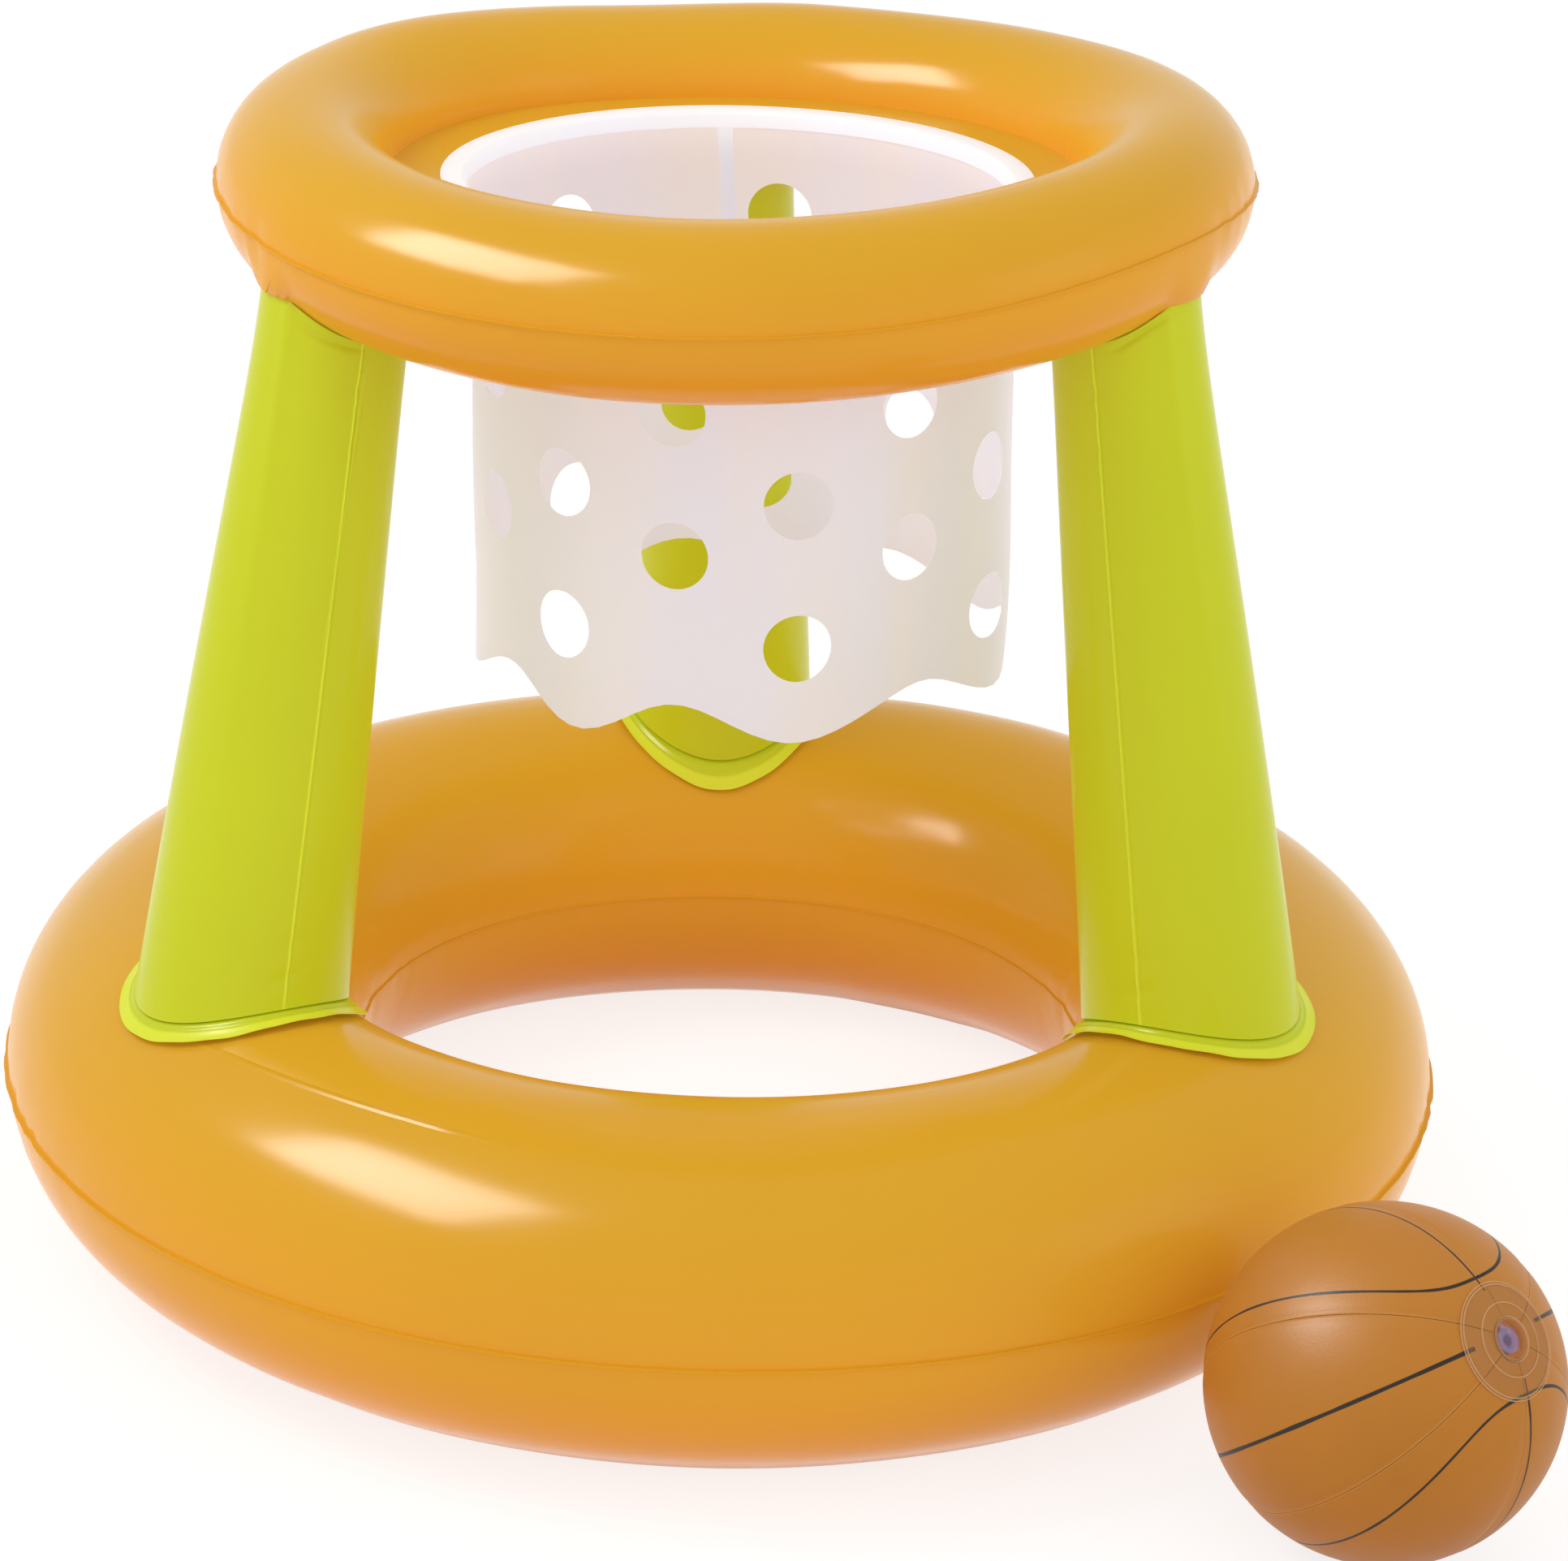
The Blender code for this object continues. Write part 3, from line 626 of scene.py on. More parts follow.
def makeLeg(side, turn, seed):
    begin()
    bpy.ops.mesh.primitive_cylinder_add(
        vertices=legs["segments"], radius=1, depth=1, end_fill_type="NOTHING", location=(0, 0, 0.5)
    )
    piece = named(side + "LegSide")
    freezePlace(piece)
    edit(piece, 1)
    pick(piece, 1, lambda edge, middle: 0.4 < middle.z < 0.6)
    bpy.ops.mesh.subdivide(number_cuts=legs["rows"])
    leave()
    points = pointsOf(piece)
    about = np.arctan2(points[:, 1], points[:, 0])
    weldAt = legs["weldAt"][side]
    # columns crowd together at the weld, so that its ridge is smooth
    off = around(about, weldAt)
    about = weldAt + off - legs["columnGather"] * np.sin(off)
    # rows crowd together at both ends
    whole = 2 * math.pi
    along = points[:, 2] - legs["rowGather"] * np.sin(whole * points[:, 2]) / whole
    middle = shareAt((baseTopHeight + topBottomHeight) / 2)
    onFoot = 2 * legs["seatGap"] + sheetWall + foot["rise"]
    low = meeting(side, about, baseRing, onFoot, middle, shareAt(baseRing["seamHeight"]))
    high = meeting(side, about, topRing, legs["seatGap"], middle, shareAt(topRing["seamHeight"]))
    level = topRing["legSeat"]["level"] * topRing["halfHeight"]
    drawn = topRing["seamHeight"] - level - legs["seatGap"]
    share = mix(low, np.minimum(high, shareAt(drawn)), along)
    off = around(about, weldAt) * legs["footRadius"]
    fade = np.sin(np.pi * along) ** 0.5
    wide = legs["weldWidth"]
    push = legs["weldHeight"] * bell(off, wide)
    push -= legs["weldGroove"] * bell(off - legs["grooveAt"] * wide, wide)
    draw = random.Random(seed)
    for count in (1, 2, 3, 4):
        phase = draw.uniform(0, 6)
        wave = np.sin(count * about + phase + 3 * share * draw.uniform(-1, 1))
        push += legs["swell"] / 2 * fade * wave
    # a crease runs round the front of the leg just below the ring
    length = topBottomHeight - baseTopHeight
    facing = around(turn + about, -math.pi / 2)
    bow = legs["creaseBow"] * np.sin(3 * facing + seed)
    bend = (1 - along) * length - legs["creaseDrop"] - bow
    front = np.exp(-((around(facing, legs["creaseAt"][side]) / legs["creaseSpread"]) ** 4))
    push -= legs["crease"] * front * bell(bend, legs["creaseWidth"])
    # a low band runs down the leg from near the crease's end
    bandAt = legs["bandAt"][side] + legs["bandDrift"] * (1 - along)
    band = bell(around(facing, bandAt), legs["bandSpread"])
    push += legs["bandRise"] * band * smoothStep(along, *legs["bandEnds"])
    # small puckers beside the weld near both ends
    for at, depth in legs["puckers"]:
        slanted = along - at - off * legs["puckerSlant"]
        push -= depth * bell(slanted, legs["puckerWidth"]) * bell(off, legs["puckerWidth"])
    # nothing stands out or in at the welds to the foot and the ring
    push *= np.minimum(1, along / legs["calmEnds"][0]) * np.minimum(1, (1 - along) / legs["calmEnds"][1])
    movePoints(piece, settled(legSkin(side, share, about, push)))
    # the upright weld carries the painted weld highlight
    markWeldHighlight(piece, bell(off, legs["weldHighlightWidth"] * wide))
    finishSheet(piece)
    return piece


def makeFoot(side, turn, seed):
    lip = foot["lipShare"] / foot["lipRows"]
    shares = [1 - lip * row for row in range(foot["lipRows"] + 1)]
    spread = legs["footSpread"][side]
    profile = [((foot["radius"] + spread) * share, 0) for share in shares + list(foot["seatShares"])]
    piece = turnedPiece(side + "LegFoot", profile, legs["segments"])
    points = pointsOf(piece)
    centre = np.array([footReach * math.cos(turn), footReach * math.sin(turn)]) + legs["footShift"][side]
    flat = points[:, :2] + centre
    span, about = turnsOf(points)
    reach = turnsOf(flat)[0]
    out = legs["seatGap"] + sheetWall
    across = (reach - baseRing["radius"]) / (baseRing["halfWidth"] + out)
    height = (baseRing["halfHeight"] + out) * np.sqrt(1 - across**2)
    away = span - foot["wallRadius"] - spread
    lip = np.clip(away / (foot["radius"] - foot["wallRadius"]), 0, 1)
    wave = sum(size * np.sin(count * about + start * seed) for count, start, size in foot["waves"])
    lift = foot["rise"] * (1 - lip) ** 1.2 + foot["flare"] * lip**1.6
    lift += foot["ripple"] * lip * (1 + wave / 2)
    lift -= foot["groove"] * bell(away - foot["grooveAt"], foot["grooveWidth"])
    moved = np.stack([flat[:, 0], flat[:, 1], baseRing["seamHeight"] + height + lift], axis=1)
    movePoints(piece, settled(moved))
    # the foot's outer lip carries the painted weld highlight
    markWeldHighlight(piece, smoothStep(away, foot["grooveAt"], foot["weldFrom"]))
    outward(piece)
    finishSheet(piece)
    return piece


legPieces = {}
for number, (side, turn) in enumerate(legs["turns"].items()):
    legPieces[side] = (makeLeg(side, turn, 3 + number), makeFoot(side, turn, 1.7 * number))
print("legs made")


# Net: a sheet punched flat, then rolled, welded at the back and hung from its rim
net = {
    "radius": 0.1221,
    "taper": 0.0012,
    "top": topRing["seamHeight"] - 0.0003,
    "drop": 0.2157,
    "lobes": 7,
    "turn": math.radians(-79.4),
    # some columns at the back stand off their even places: the lowest hole by the first turn,
    # and each hole above it by one step more, in degrees
    "columnShift": {6: (11.5, -2.5), 7: (1.5, 0), 8: (5, 0)},
    "topShift": 0.001,
    "hemShift": 0.0075,
    "hemWarp": math.radians(4.5),
    "hemLift": (0.0014, 0.0036),
    "hemWave": 0.008,
    "holeRadius": 0.0152,
    "holeSides": 72,
    "punchDepth": 0.02,
    "holePitch": 0.065,
    "lobeRise": 0.0373,
    "troughRise": 0.077,
    "weldTurn": math.radians(92.9),
    "weldOverlap": 0.007,
    "weldRise": 0.0005,
    "cell": 0.0032,
    "hemRows": 0.019,
    "bow": 0.0026,
    # dents: how many round the net, their slant and start, and their depth
    "buckles": ((3, 9, 0.6, 0.0009), (11, -7, 0, 0.00036)),
}
netRim = {
    "outer": 0.132,
    "flat": 0.004,
    "inner": 0.1212,
    "turnDown": 0.008,
    "rounding": 0.0022,
    "steps": 6,
    "segments": 360,
}
netHem = topRing["seamHeight"] - net["drop"]


# Turn and height of each hole, in columns over the hem's lobes and over its troughs
def holePlaces():
    for column in range(2 * net["lobes"]):
        overLobe = column % 2 == 0
        rise = net["lobeRise"] if overLobe else net["troughRise"]
        for row in range(3 if overLobe else 2):
            first, step = net["columnShift"].get(column, (0, 0))
            turn = net["turn"] + column * math.pi / net["lobes"] + math.radians(first + step * row)
            yield turn, netHem + rise + row * net["holePitch"]


def makeNet():
    length = 2 * math.pi * net["radius"] + net["weldOverlap"]
    height = net["top"] - netHem
    piece = addBlock("netSheet", (length, sheetWall, height), (0, 0, netHem + height / 2))
    for axis, size in ((0, length), (2, height)):
        edit(piece, 1)
        pick(piece, 1, lambda edge, at: abs((edge.verts[0].co - edge.verts[1].co)[axis]) > size / 2)
        bpy.ops.mesh.subdivide(number_cuts=round(size / net["cell"]))
        leave()
    # one tool with all the punches
    punches = []
    for turn, at in holePlaces():
        begin()
        bpy.ops.mesh.primitive_cylinder_add(
            vertices=net["holeSides"],
            radius=net["holeRadius"],
            depth=net["punchDepth"],
            location=(around(turn, net["weldTurn"] - math.pi) * net["radius"], 0, at),
            rotation=(math.pi / 2, 0, 0),
        )
        punches.append(bpy.context.object)
    begin()
    for punch in punches:
        punch.select_set(True)
    bpy.context.view_layer.objects.active = punches[0]
    bpy.ops.object.join()
    combine(piece, bpy.context.object, "DIFFERENCE")
    rollNet(piece)
    smoothShade(piece, 35)
    return piece


def rollNet(piece):
    points = pointsOf(piece)
    turn = net["weldTurn"] - math.pi + points[:, 0] / net["radius"]
    share = (points[:, 2] - netHem) / (net["top"] - netHem)
    hang = 1 - share
    aside = smoothStep(np.abs(around(turn, -math.pi / 2)), math.radians(10), math.radians(42))
    lobe = np.cos(net["lobes"] * (turn - net["turn"] - net["hemWarp"] * aside))
    hem = net["hemWave"] * lobe - net["hemLift"][0] - net["hemLift"][1] * np.cos(turn)
    hem = hem * (1 - smoothStep(points[:, 2] - netHem, 0, net["hemRows"]))
    radius = net["radius"] - net["taper"] * hang + points[:, 1]
    # stiff vinyl hangs in shallow flutes that open towards the hem, and dents at a few places
    radius = radius + net["bow"] * hang**1.5 * lobe
    for count, slant, start, depth in net["buckles"]:
        radius += depth * hang * np.sin(count * turn + slant * share + start)
    past = np.abs(points[:, 0]) - math.pi * net["radius"]
    overlap = np.clip(past, -1, net["weldOverlap"]) + net["weldOverlap"] / 2
    radius += net["weldRise"] * smoothStep(overlap, -0.001, 0.002) * (points[:, 0] > 0)
    # it leans a little to one side
    across = radius * np.cos(turn) + mix(net["topShift"], net["hemShift"], 1 - share**2.2)
    moved = np.stack([across, radius * np.sin(turn), points[:, 2] - hem], axis=1)
    movePoints(piece, moved)
    place(piece, Matrix.Translation(hoopAxis))


def makeNetRim():
    top = rimHigh.z
    corner = netRim["rounding"]
    outer = netRim["outer"]
    profile = [(outer, top), (outer - netRim["flat"], top), (netRim["inner"] + corner, top)]
    for step in range(1, netRim["steps"] + 1):
        angle = step / netRim["steps"] * math.pi / 2
        inwards = corner * (1 - math.sin(angle))
        profile.append((netRim["inner"] + inwards, top - corner * (1 - math.cos(angle))))
    profile.append((netRim["inner"], top - netRim["turnDown"]))
    piece = turnedPiece("netRim", profile, netRim["segments"])
    outward(piece)
    finishSheet(piece, 50, aside=net["topShift"])
    return piece


netPiece = makeNet()
rimPiece = makeNetRim()
print("net made")


# Ball: six welded gores, and a clear patch with a well for the valve
ball = {
    "radius": 0.075,
    "segments": 216,
    "rings": 120,
    "gores": 6,
    "goreTurn": math.radians(-6.3),
    "seamGather": 0.8,
    "seamGap": 0.00015,
    "bead": 0.00032,
    "beadWidth": 0.0007,
    "pinch": 0.00045,
    "pinchWidth": 0.0028,
    "beadEnds": (0.004, 0.012),  # reaches from the pole between which the welds rise
    "patchEnds": (0.019, 0.028),  # ways from the pole between which the skin comes out
    "patchSink": 0.0002,
    "wellRadius": 0.0084,
    "wellDepth": 0.0045,
    "wellClearance": 0.0009,
    "endHole": 0.002,
    "patchRise": 0.0006,
    "patchRidges": ((0.0247, 0.0002), (0.0235, 0.00016), (0.0155, 0.00018), (0.0095, 0.0003)),
    "ridgeWidth": 0.00028,
    "patchRadius": 0.025,
    "patchRows": 150,
    "endPatchRadius": 0.012,
    "endPatchRows": 24,
    "stemHole": 0.0048,
}


# The valve's own axes, from its cap's hinge and its stem's slide: Z points out of the skin
def axesOf(name):
    out = Vector(jointOf(name + "_stem_slide")["axis"]).normalized()
    side = -Vector(jointOf(name + "_cap_hinge")["axis"]).normalized()
    return Matrix((side.cross(out), side, out)).transposed()


ballAxes = axesOf("ball")
mouthFall = math.asin(ball["wellRadius"] / ball["radius"])
mouthFloor = (ball["radius"] + ball["patchRise"]) * math.cos(mouthFall) - ball["wellDepth"]


def makeGore():
    begin()
    bpy.ops.mesh.primitive_uv_sphere_add(
        segments=ball["segments"], ring_count=ball["rings"], radius=ball["radius"]
    )
    piece = named("ballGore1")
    wedge = 2 * math.pi / ball["gores"]
    edit(piece, 2)
    pick(piece, 2, lambda face, at: not 0 < math.atan2(at.y, at.x) < wedge)
    bpy.ops.mesh.delete(type="FACE")
    pick(piece, 2, lambda face, at: len(face.verts) == 3)
    bpy.ops.mesh.delete(type="FACE")
    leave()
    points = pointsOf(piece)
    turn = np.arctan2(points[:, 1], points[:, 0]) / wedge
    fall = np.arccos(points[:, 2] / ball["radius"])
    first = fall.min()
    start = math.asin((ball["wellRadius"] + ball["wellClearance"]) / ball["radius"])
    end = math.pi - math.asin(ball["endHole"] / ball["radius"])
    fall = start + (fall - first) / (math.pi - 2 * first) * (end - start)
    # columns crowd to the welds, where the skin is pinched in and the weld stands up as a bead
    turn = turn - ball["seamGather"] * np.sin(2 * math.pi * turn) / (2 * math.pi)
    level = ball["radius"] * np.sin(fall)
    room = ball["seamGap"] / level
    turn = room + np.clip(turn, 0, 1) * (wedge - 2 * room)
    away = np.minimum(turn, wedge - turn) * level
    near = smoothStep(fall * ball["radius"], *ball["patchEnds"])
    risen = smoothStep(level, *ball["beadEnds"]) * near
    bead = bell(away, ball["beadWidth"])
    push = ball["bead"] * bead - ball["pinch"] * bell(away, ball["pinchWidth"])
    radius = ball["radius"] - ball["patchSink"] * (1 - near) + push * risen
    turn = turn + ball["goreTurn"]
    movePoints(piece, atTurns(radius * np.sin(fall), turn, radius * np.cos(fall)))
    # the weld beads carry the painted weld highlight
    markWeldHighlight(piece, bead * risen)
    thicken(piece)
    smoothShade(piece, 60)
    return piece


# A round patch over a pole, its rows at the given (reach, rise) over the skin
def roundPatch(name, below, rows, segments):
    side = -1 if below else 1
    profile = [(reach, side * (math.sqrt(ball["radius"] ** 2 - reach**2) + rise)) for reach, rise in rows]
    return turnedPiece(name, profile, segments)


def patchRise(reach):
    ridges = [height * bell(reach - at, ball["ridgeWidth"]) for at, height in ball["patchRidges"]]
    return ball["patchRise"] + sum(ridges)


def makeBall():
    first = makeGore()
    pieces = [first]
    for number in range(1, ball["gores"]):
        gore = copyOf(first, f"ballGore{number + 1}")
        place(gore, Matrix.Rotation(2 * math.pi * number / ball["gores"], 4, "Z"))
        pieces.append(gore)
    steps = ball["patchRows"]
    reaches = [mix(ball["patchRadius"], ball["wellRadius"], step / steps) for step in range(steps + 1)]
    patch = roundPatch("ballValvePatch", False, [(reach, patchRise(reach)) for reach in reaches], 180)
    edit(patch, 1)
    pick(patch, 1, lambda edge, at: edge.is_boundary and at.xy.length < ball["wellRadius"] * 1.1)
    rim = math.sqrt(ball["radius"] ** 2 - ball["wellRadius"] ** 2) + patchRise(ball["wellRadius"])
    # the well's wall and floor
    wall = ball["wellRadius"] - 0.0001
    rows = [(ball["wellRadius"], rim), (wall, rim - 0.0006), (wall, mouthFloor + 0.0008)]
    rows += [(wall - 0.0008, mouthFloor), (ball["stemHole"], mouthFloor)]
    for row, nextRow in zip(rows, rows[1:]):
        drawOut(row, nextRow)
    leave()
    steps = ball["endPatchRows"]
    reaches = [mix(ball["endPatchRadius"], 0, step / steps) for step in range(steps + 1)]
    endPatch = roundPatch("ballEndPatch", True, [(reach, ball["patchRise"]) for reach in reaches], 96)
    for piece, up in ((patch, True), (endPatch, False)):
        outward(piece, up)
        thicken(piece)
        smoothShade(piece, 50)
    return pieces, patch, endPatch


gorePieces, valvePatch, endPatch = makeBall()


# Valves: a stem that is pushed into its flange, a stopper cap on a strap and a non-return flap
valve = {
    "segments": 64,
    "stemRadius": 0.0045,
    "stemWall": 0.0016,
    "stemDepth": 0.011,
    "lipOverhang": 0.0009,
    "lipThickness": 0.001,
    "collarOverhang": 0.0019,
    "collarThickness": 0.001,
    "capThickness": 0.0012,
    "stopperLength": 0.0046,
    "stopperClearance": 0.0005,
    "stopperTaper": 0.0008,
    "strapLength": 0.0014,
    "strapWidth": 0.0026,
    "strapThickness": 0.0007,
    "flapThickness": 0.0005,
    "flapOverlap": 0.0007,
    "gap": 0.0003,
    "flangeThickness": 0.0008,
    "flangeSheet": 0.00056,
    # the welded flange is flat outside, with a step at its weld and another round the stem
    "flangeRows": (
        (0.012, -0.0004),
        (0.0116, 0),
        (0.0105, 0),
        (0.0101, -0.0002),
        (0.0096, -0.0002),
        (0.0092, 0),
        (0.008, 0),
        (0.0065, 0),
        (0.0062, 0.0002),
        (0.0056, 0.0002),
        (0.0048, 0),
    ),
    "flangeSides": 96,
    "holeClearance": 0.0007,
    "punchDepth": 0.012,
    "edge": 0.00022,
}
lipRadius = valve["stemRadius"] + valve["lipOverhang"]
stemBore = valve["stemRadius"] - valve["stemWall"]
collarRadius = valve["stemRadius"] + valve["collarOverhang"]
hingeReach = lipRadius + valve["strapLength"]
ringFlangeTop = valve["gap"] + valve["flangeThickness"]
flangeTops = {"base": ringFlangeTop, "top": ringFlangeTop, "ball": 0}


def mouthOf(name):
    lipHigh = flangeTops[name] + valve["gap"] + valve["lipThickness"]
    axes = axesOf(name)
    hinge = Vector(jointOf(name + "_cap_hinge")["pos_m"])
    middle = hinge + axes @ Vector((hingeReach, 0, -lipHigh - valve["gap"] / 2))
    return Matrix.Translation(middle) @ axes.to_4x4()


def softEdges(piece, width):
    bevel = piece.modifiers.new("soft edges", "BEVEL")
    bevel.width = width
    bevel.segments = 3
    bevel.limit_method = "ANGLE"
    bevel.angle_limit = math.radians(40)
    applyAll(piece)


def addTab(piece, size, middle, edge):
    combine(piece, addBlock("tab", size, middle), "UNION")
    softEdges(piece, edge)


def makeValve(name, tag):
    lipLow = flangeTops[name] + valve["gap"]
    lipHigh = lipLow + valve["lipThickness"]
    depth = valve["stemDepth"]
    stemRows = [
        (stemBore, -depth),
        (collarRadius, -depth),
        (collarRadius, -depth + valve["collarThickness"]),
        (valve["stemRadius"], -depth + valve["collarThickness"]),
        (valve["stemRadius"], lipLow),
        (lipRadius, lipLow),
        (lipRadius, lipHigh),
        (stemBore, lipHigh),
        (stemBore, -depth),
    ]
    stem = turnedPiece(tag + "ValveStem", stemRows, valve["segments"], closed=True)
    earSize = (hingeReach - valve["stemRadius"], valve["strapWidth"], valve["lipThickness"] - valve["gap"])
    earMiddle = (-hingeReach + earSize[0] / 2, 0, lipHigh - earSize[2] / 2 - valve["gap"] / 2)
    addTab(stem, earSize, earMiddle, valve["edge"])

    capLow = lipHigh + valve["gap"]
    capTop = capLow + valve["capThickness"]
    plug = stemBore - valve["stopperClearance"]
    capRows = [
        (plug - valve["stopperTaper"], capLow - valve["stopperLength"]),
        (plug, capLow),
        (lipRadius, capLow),
        (lipRadius, capTop),
        (lipRadius * 0.62, capTop),
        (lipRadius * 0.56, capTop - valve["capThickness"] / 4),
        (0, capTop - valve["capThickness"] / 4),
    ]
    cap = turnedPiece(tag + "ValveCap", capRows, valve["segments"])
    fillOpenEnd(cap)
    strapSize = (hingeReach - stemBore, valve["strapWidth"], valve["strapThickness"])
    strapMiddle = (-hingeReach + strapSize[0] / 2, 0, capLow + valve["capThickness"] / 2)
    addTab(cap, strapSize, strapMiddle, valve["edge"])

    flapHigh = -depth - valve["gap"]
    flapRadius = stemBore + valve["flapOverlap"]
    flapRows = [
        (flapRadius * 0.98, flapHigh - valve["flapThickness"]),
        (flapRadius, flapHigh - valve["flapThickness"] / 2),
        (flapRadius, flapHigh),
        (0, flapHigh),
    ]
    flap = turnedPiece(tag + "ValveFlap", flapRows, valve["segments"])
    fillOpenEnd(flap)
    tailSize = (collarRadius, valve["strapWidth"], valve["flapThickness"] / 2)
    tailMiddle = (-collarRadius / 2, 0, flapHigh - valve["flapThickness"] / 2)
    addTab(flap, tailSize, tailMiddle, valve["edge"] / 3)
    for piece in (stem, cap, flap):
        smoothShade(piece, 35)
    return stem, cap, flap


def fillOpenEnd(piece):
    edit(piece, 1)
    pick(piece, 1, lambda edge, at: edge.is_boundary)
    bpy.ops.mesh.edge_face_add()
    leave()
    alignFaces(piece)


def skinPoint(ring, turn, slope, out):
    out = out + ring["valveRise"]
    reach = ring["radius"] + (ring["halfWidth"] + out) * np.cos(slope)
    height = ring["seamHeight"] + (ring["halfHeight"] + out) * np.sin(slope)
    return settled(atTurns(reach, turn, height))


# The welded flange is a thin disc that follows the ring's skin
def makeFlange(name, tag, ring):
    piece = turnedPiece(tag + "ValveFlange", valve["flangeRows"], valve["flangeSides"])
    outward(piece)
    mouth = mouthOf(name)
    middle = mouth.translation - hoopAxis
    turn = math.atan2(middle.y, middle.x)
    lowered = settled(np.array([[middle.x, middle.y, middle.z]]))[0][2] - middle.z
    up = (middle.z - lowered - ring["seamHeight"]) / ring["halfHeight"]
    slope = math.atan2(up, (middle.xy.length - ring["radius"]) / ring["halfWidth"])
    points = pointsOf(piece)
    tube = (ring["halfWidth"] + ring["halfHeight"]) / 2
    reach = ring["radius"] + ring["halfWidth"] * math.cos(slope)
    # the mouth's own X can run either way round the hoop
    along = (mouth.to_3x3() @ Vector((1, 0, 0))).dot(Vector((-math.sin(turn), math.cos(turn), 0)))
    turns = turn + math.copysign(1, along) * points[:, 0] / reach
    slopes = slope + points[:, 1] / tube
    movePoints(piece, skinPoint(ring, turns, slopes, flangeTops[name] + points[:, 2]))
    finishSheet(piece, 50, valve["flangeSheet"])
    return piece


def punchStemHole(piece, name):
    radius = valve["stemRadius"] + valve["holeClearance"]
    begin()
    bpy.ops.mesh.primitive_cylinder_add(
        vertices=valve["segments"], radius=radius, depth=valve["punchDepth"]
    )
    tool = bpy.context.object
    place(tool, mouthOf(name))
    combine(piece, tool, "DIFFERENCE")


punchStemHole(baseUpper, "base")
punchStemHole(topUpper, "top")
for piece in (baseUpper, baseLower, topUpper, topLower):
    smoothShade(piece, 50)

# The ball's middle lies straight under its valve's mouth
ballCentre = mouthOf("ball").translation - ballAxes.col[2] * mouthFloor
ballMatrix = Matrix.Translation(ballCentre) @ ballAxes.to_4x4()
for piece in gorePieces + [valvePatch, endPatch]:
    place(piece, ballMatrix)
print("ball made")

valvePieces = {}
for name, tag in (("base", "baseRing"), ("top", "topRing"), ("ball", "ball")):
    valvePieces[name] = makeValve(name, tag)
    for piece in valvePieces[name]:
        place(piece, mouthOf(name))
flanges = {"base": makeFlange("base", "baseRing", baseRing), "top": makeFlange("top", "topRing", topRing)}
print("valves made")


# Materials
finish = {
    # top, side and low are lit and shaded copies of each colour: painted shade, by which way a face looks
    "orange": {"top": (0.78, 0.41, 0.025), "side": (0.81, 0.372, 0.026), "low": (0.85, 0.325, 0.026)},
    "lime": {"top": (0.60, 0.67, 0.022), "side": (0.60, 0.64, 0.02), "low": (0.62, 0.60, 0.02)},
    "ball": {"top": (0.60, 0.235, 0.03), "side": (0.57, 0.21, 0.022), "low": (0.54, 0.18, 0.02)},
    # the weld colours are a painted highlight on the weld beads, seam lips and the feet's lips
    "orangeWeldHighlight": (0.80, 0.41, 0.018),
    "limeWeldHighlight": (0.78, 0.83, 0.045),
    "ballWeldHighlight": (0.64, 0.27, 0.05),
    # cool and warm are the painted light and shade of the net's flutes
    "net": {"cool": (0.89, 0.88, 0.935), "warm": (0.925, 0.885, 0.83), "scatter": 0.35},
    "rim": {"cool": (0.93, 0.935, 0.955), "warm": (0.93, 0.93, 0.93), "scatter": 0.2},
    "patch": {"colour": (0.62, 0.34, 0.14), "alpha": 0.14},
    # the rings' colour and alpha are a painted highlight on the pressed rings
    "patchRing": {"ringHighlightColour": (0.86, 0.56, 0.30), "ringHighlightAlpha": 0.5},
    "plastic": {"colour": (0.86, 0.85, 0.80), "alpha": 0.85, "transmission": 0.35},
    "violetPlastic": {"colour": (0.66, 0.46, 0.78), "alpha": 0.7, "transmission": 0.75},
    # painted glow of the net, and whiter at the rim's top
    "netPaintedGlow": (0.23, 0.235, 0.325),
    "rimPaintedGlow": (0.44, 0.46, 0.52),
    "ink": (0.035, 0.028, 0.02),
    "straightLine": 0.0017,
    "crossLine": 0.001,
    "loopLine": 0.0013,
    "inkEdge": 0.00018,
    "inkStop": 0.02,
    "lineCurve": (math.radians(70.3), math.radians(48.2)),
    "linePower": 2.8,
    "lineTurn": math.radians(-1.8),
    "lineTilt": math.radians(-2.1),
    "well": (0.74, 0.34, 0.12),
    "rimGlowFade": 0.026,
    "ringFold": {
        "middle": -0.165,
        "half": 0.1,
        "bow": 0.00885,
        "reach": 0.282,
        "width": 0.0017,
        "start": -0.245,
        "end": -0.1,
        "low": 0.1,
        "fade": 0.03,
    },
    "legFold": {
        "way": (-0.98853, -0.02573, 0.14879),
        "offset": 0.22905,
        "width": 0.0012,
        "start": 0.315,
        "end": 0.44,
        "fade": 0.02,
    },
    # how strongly a fold is painted lighter: a painted highlight
    "foldHighlight": 0.6,
    "patchRings": (0.0247, 0.0235, 0.0155, 0.0092),
    "ringWidth": 0.0004,
}


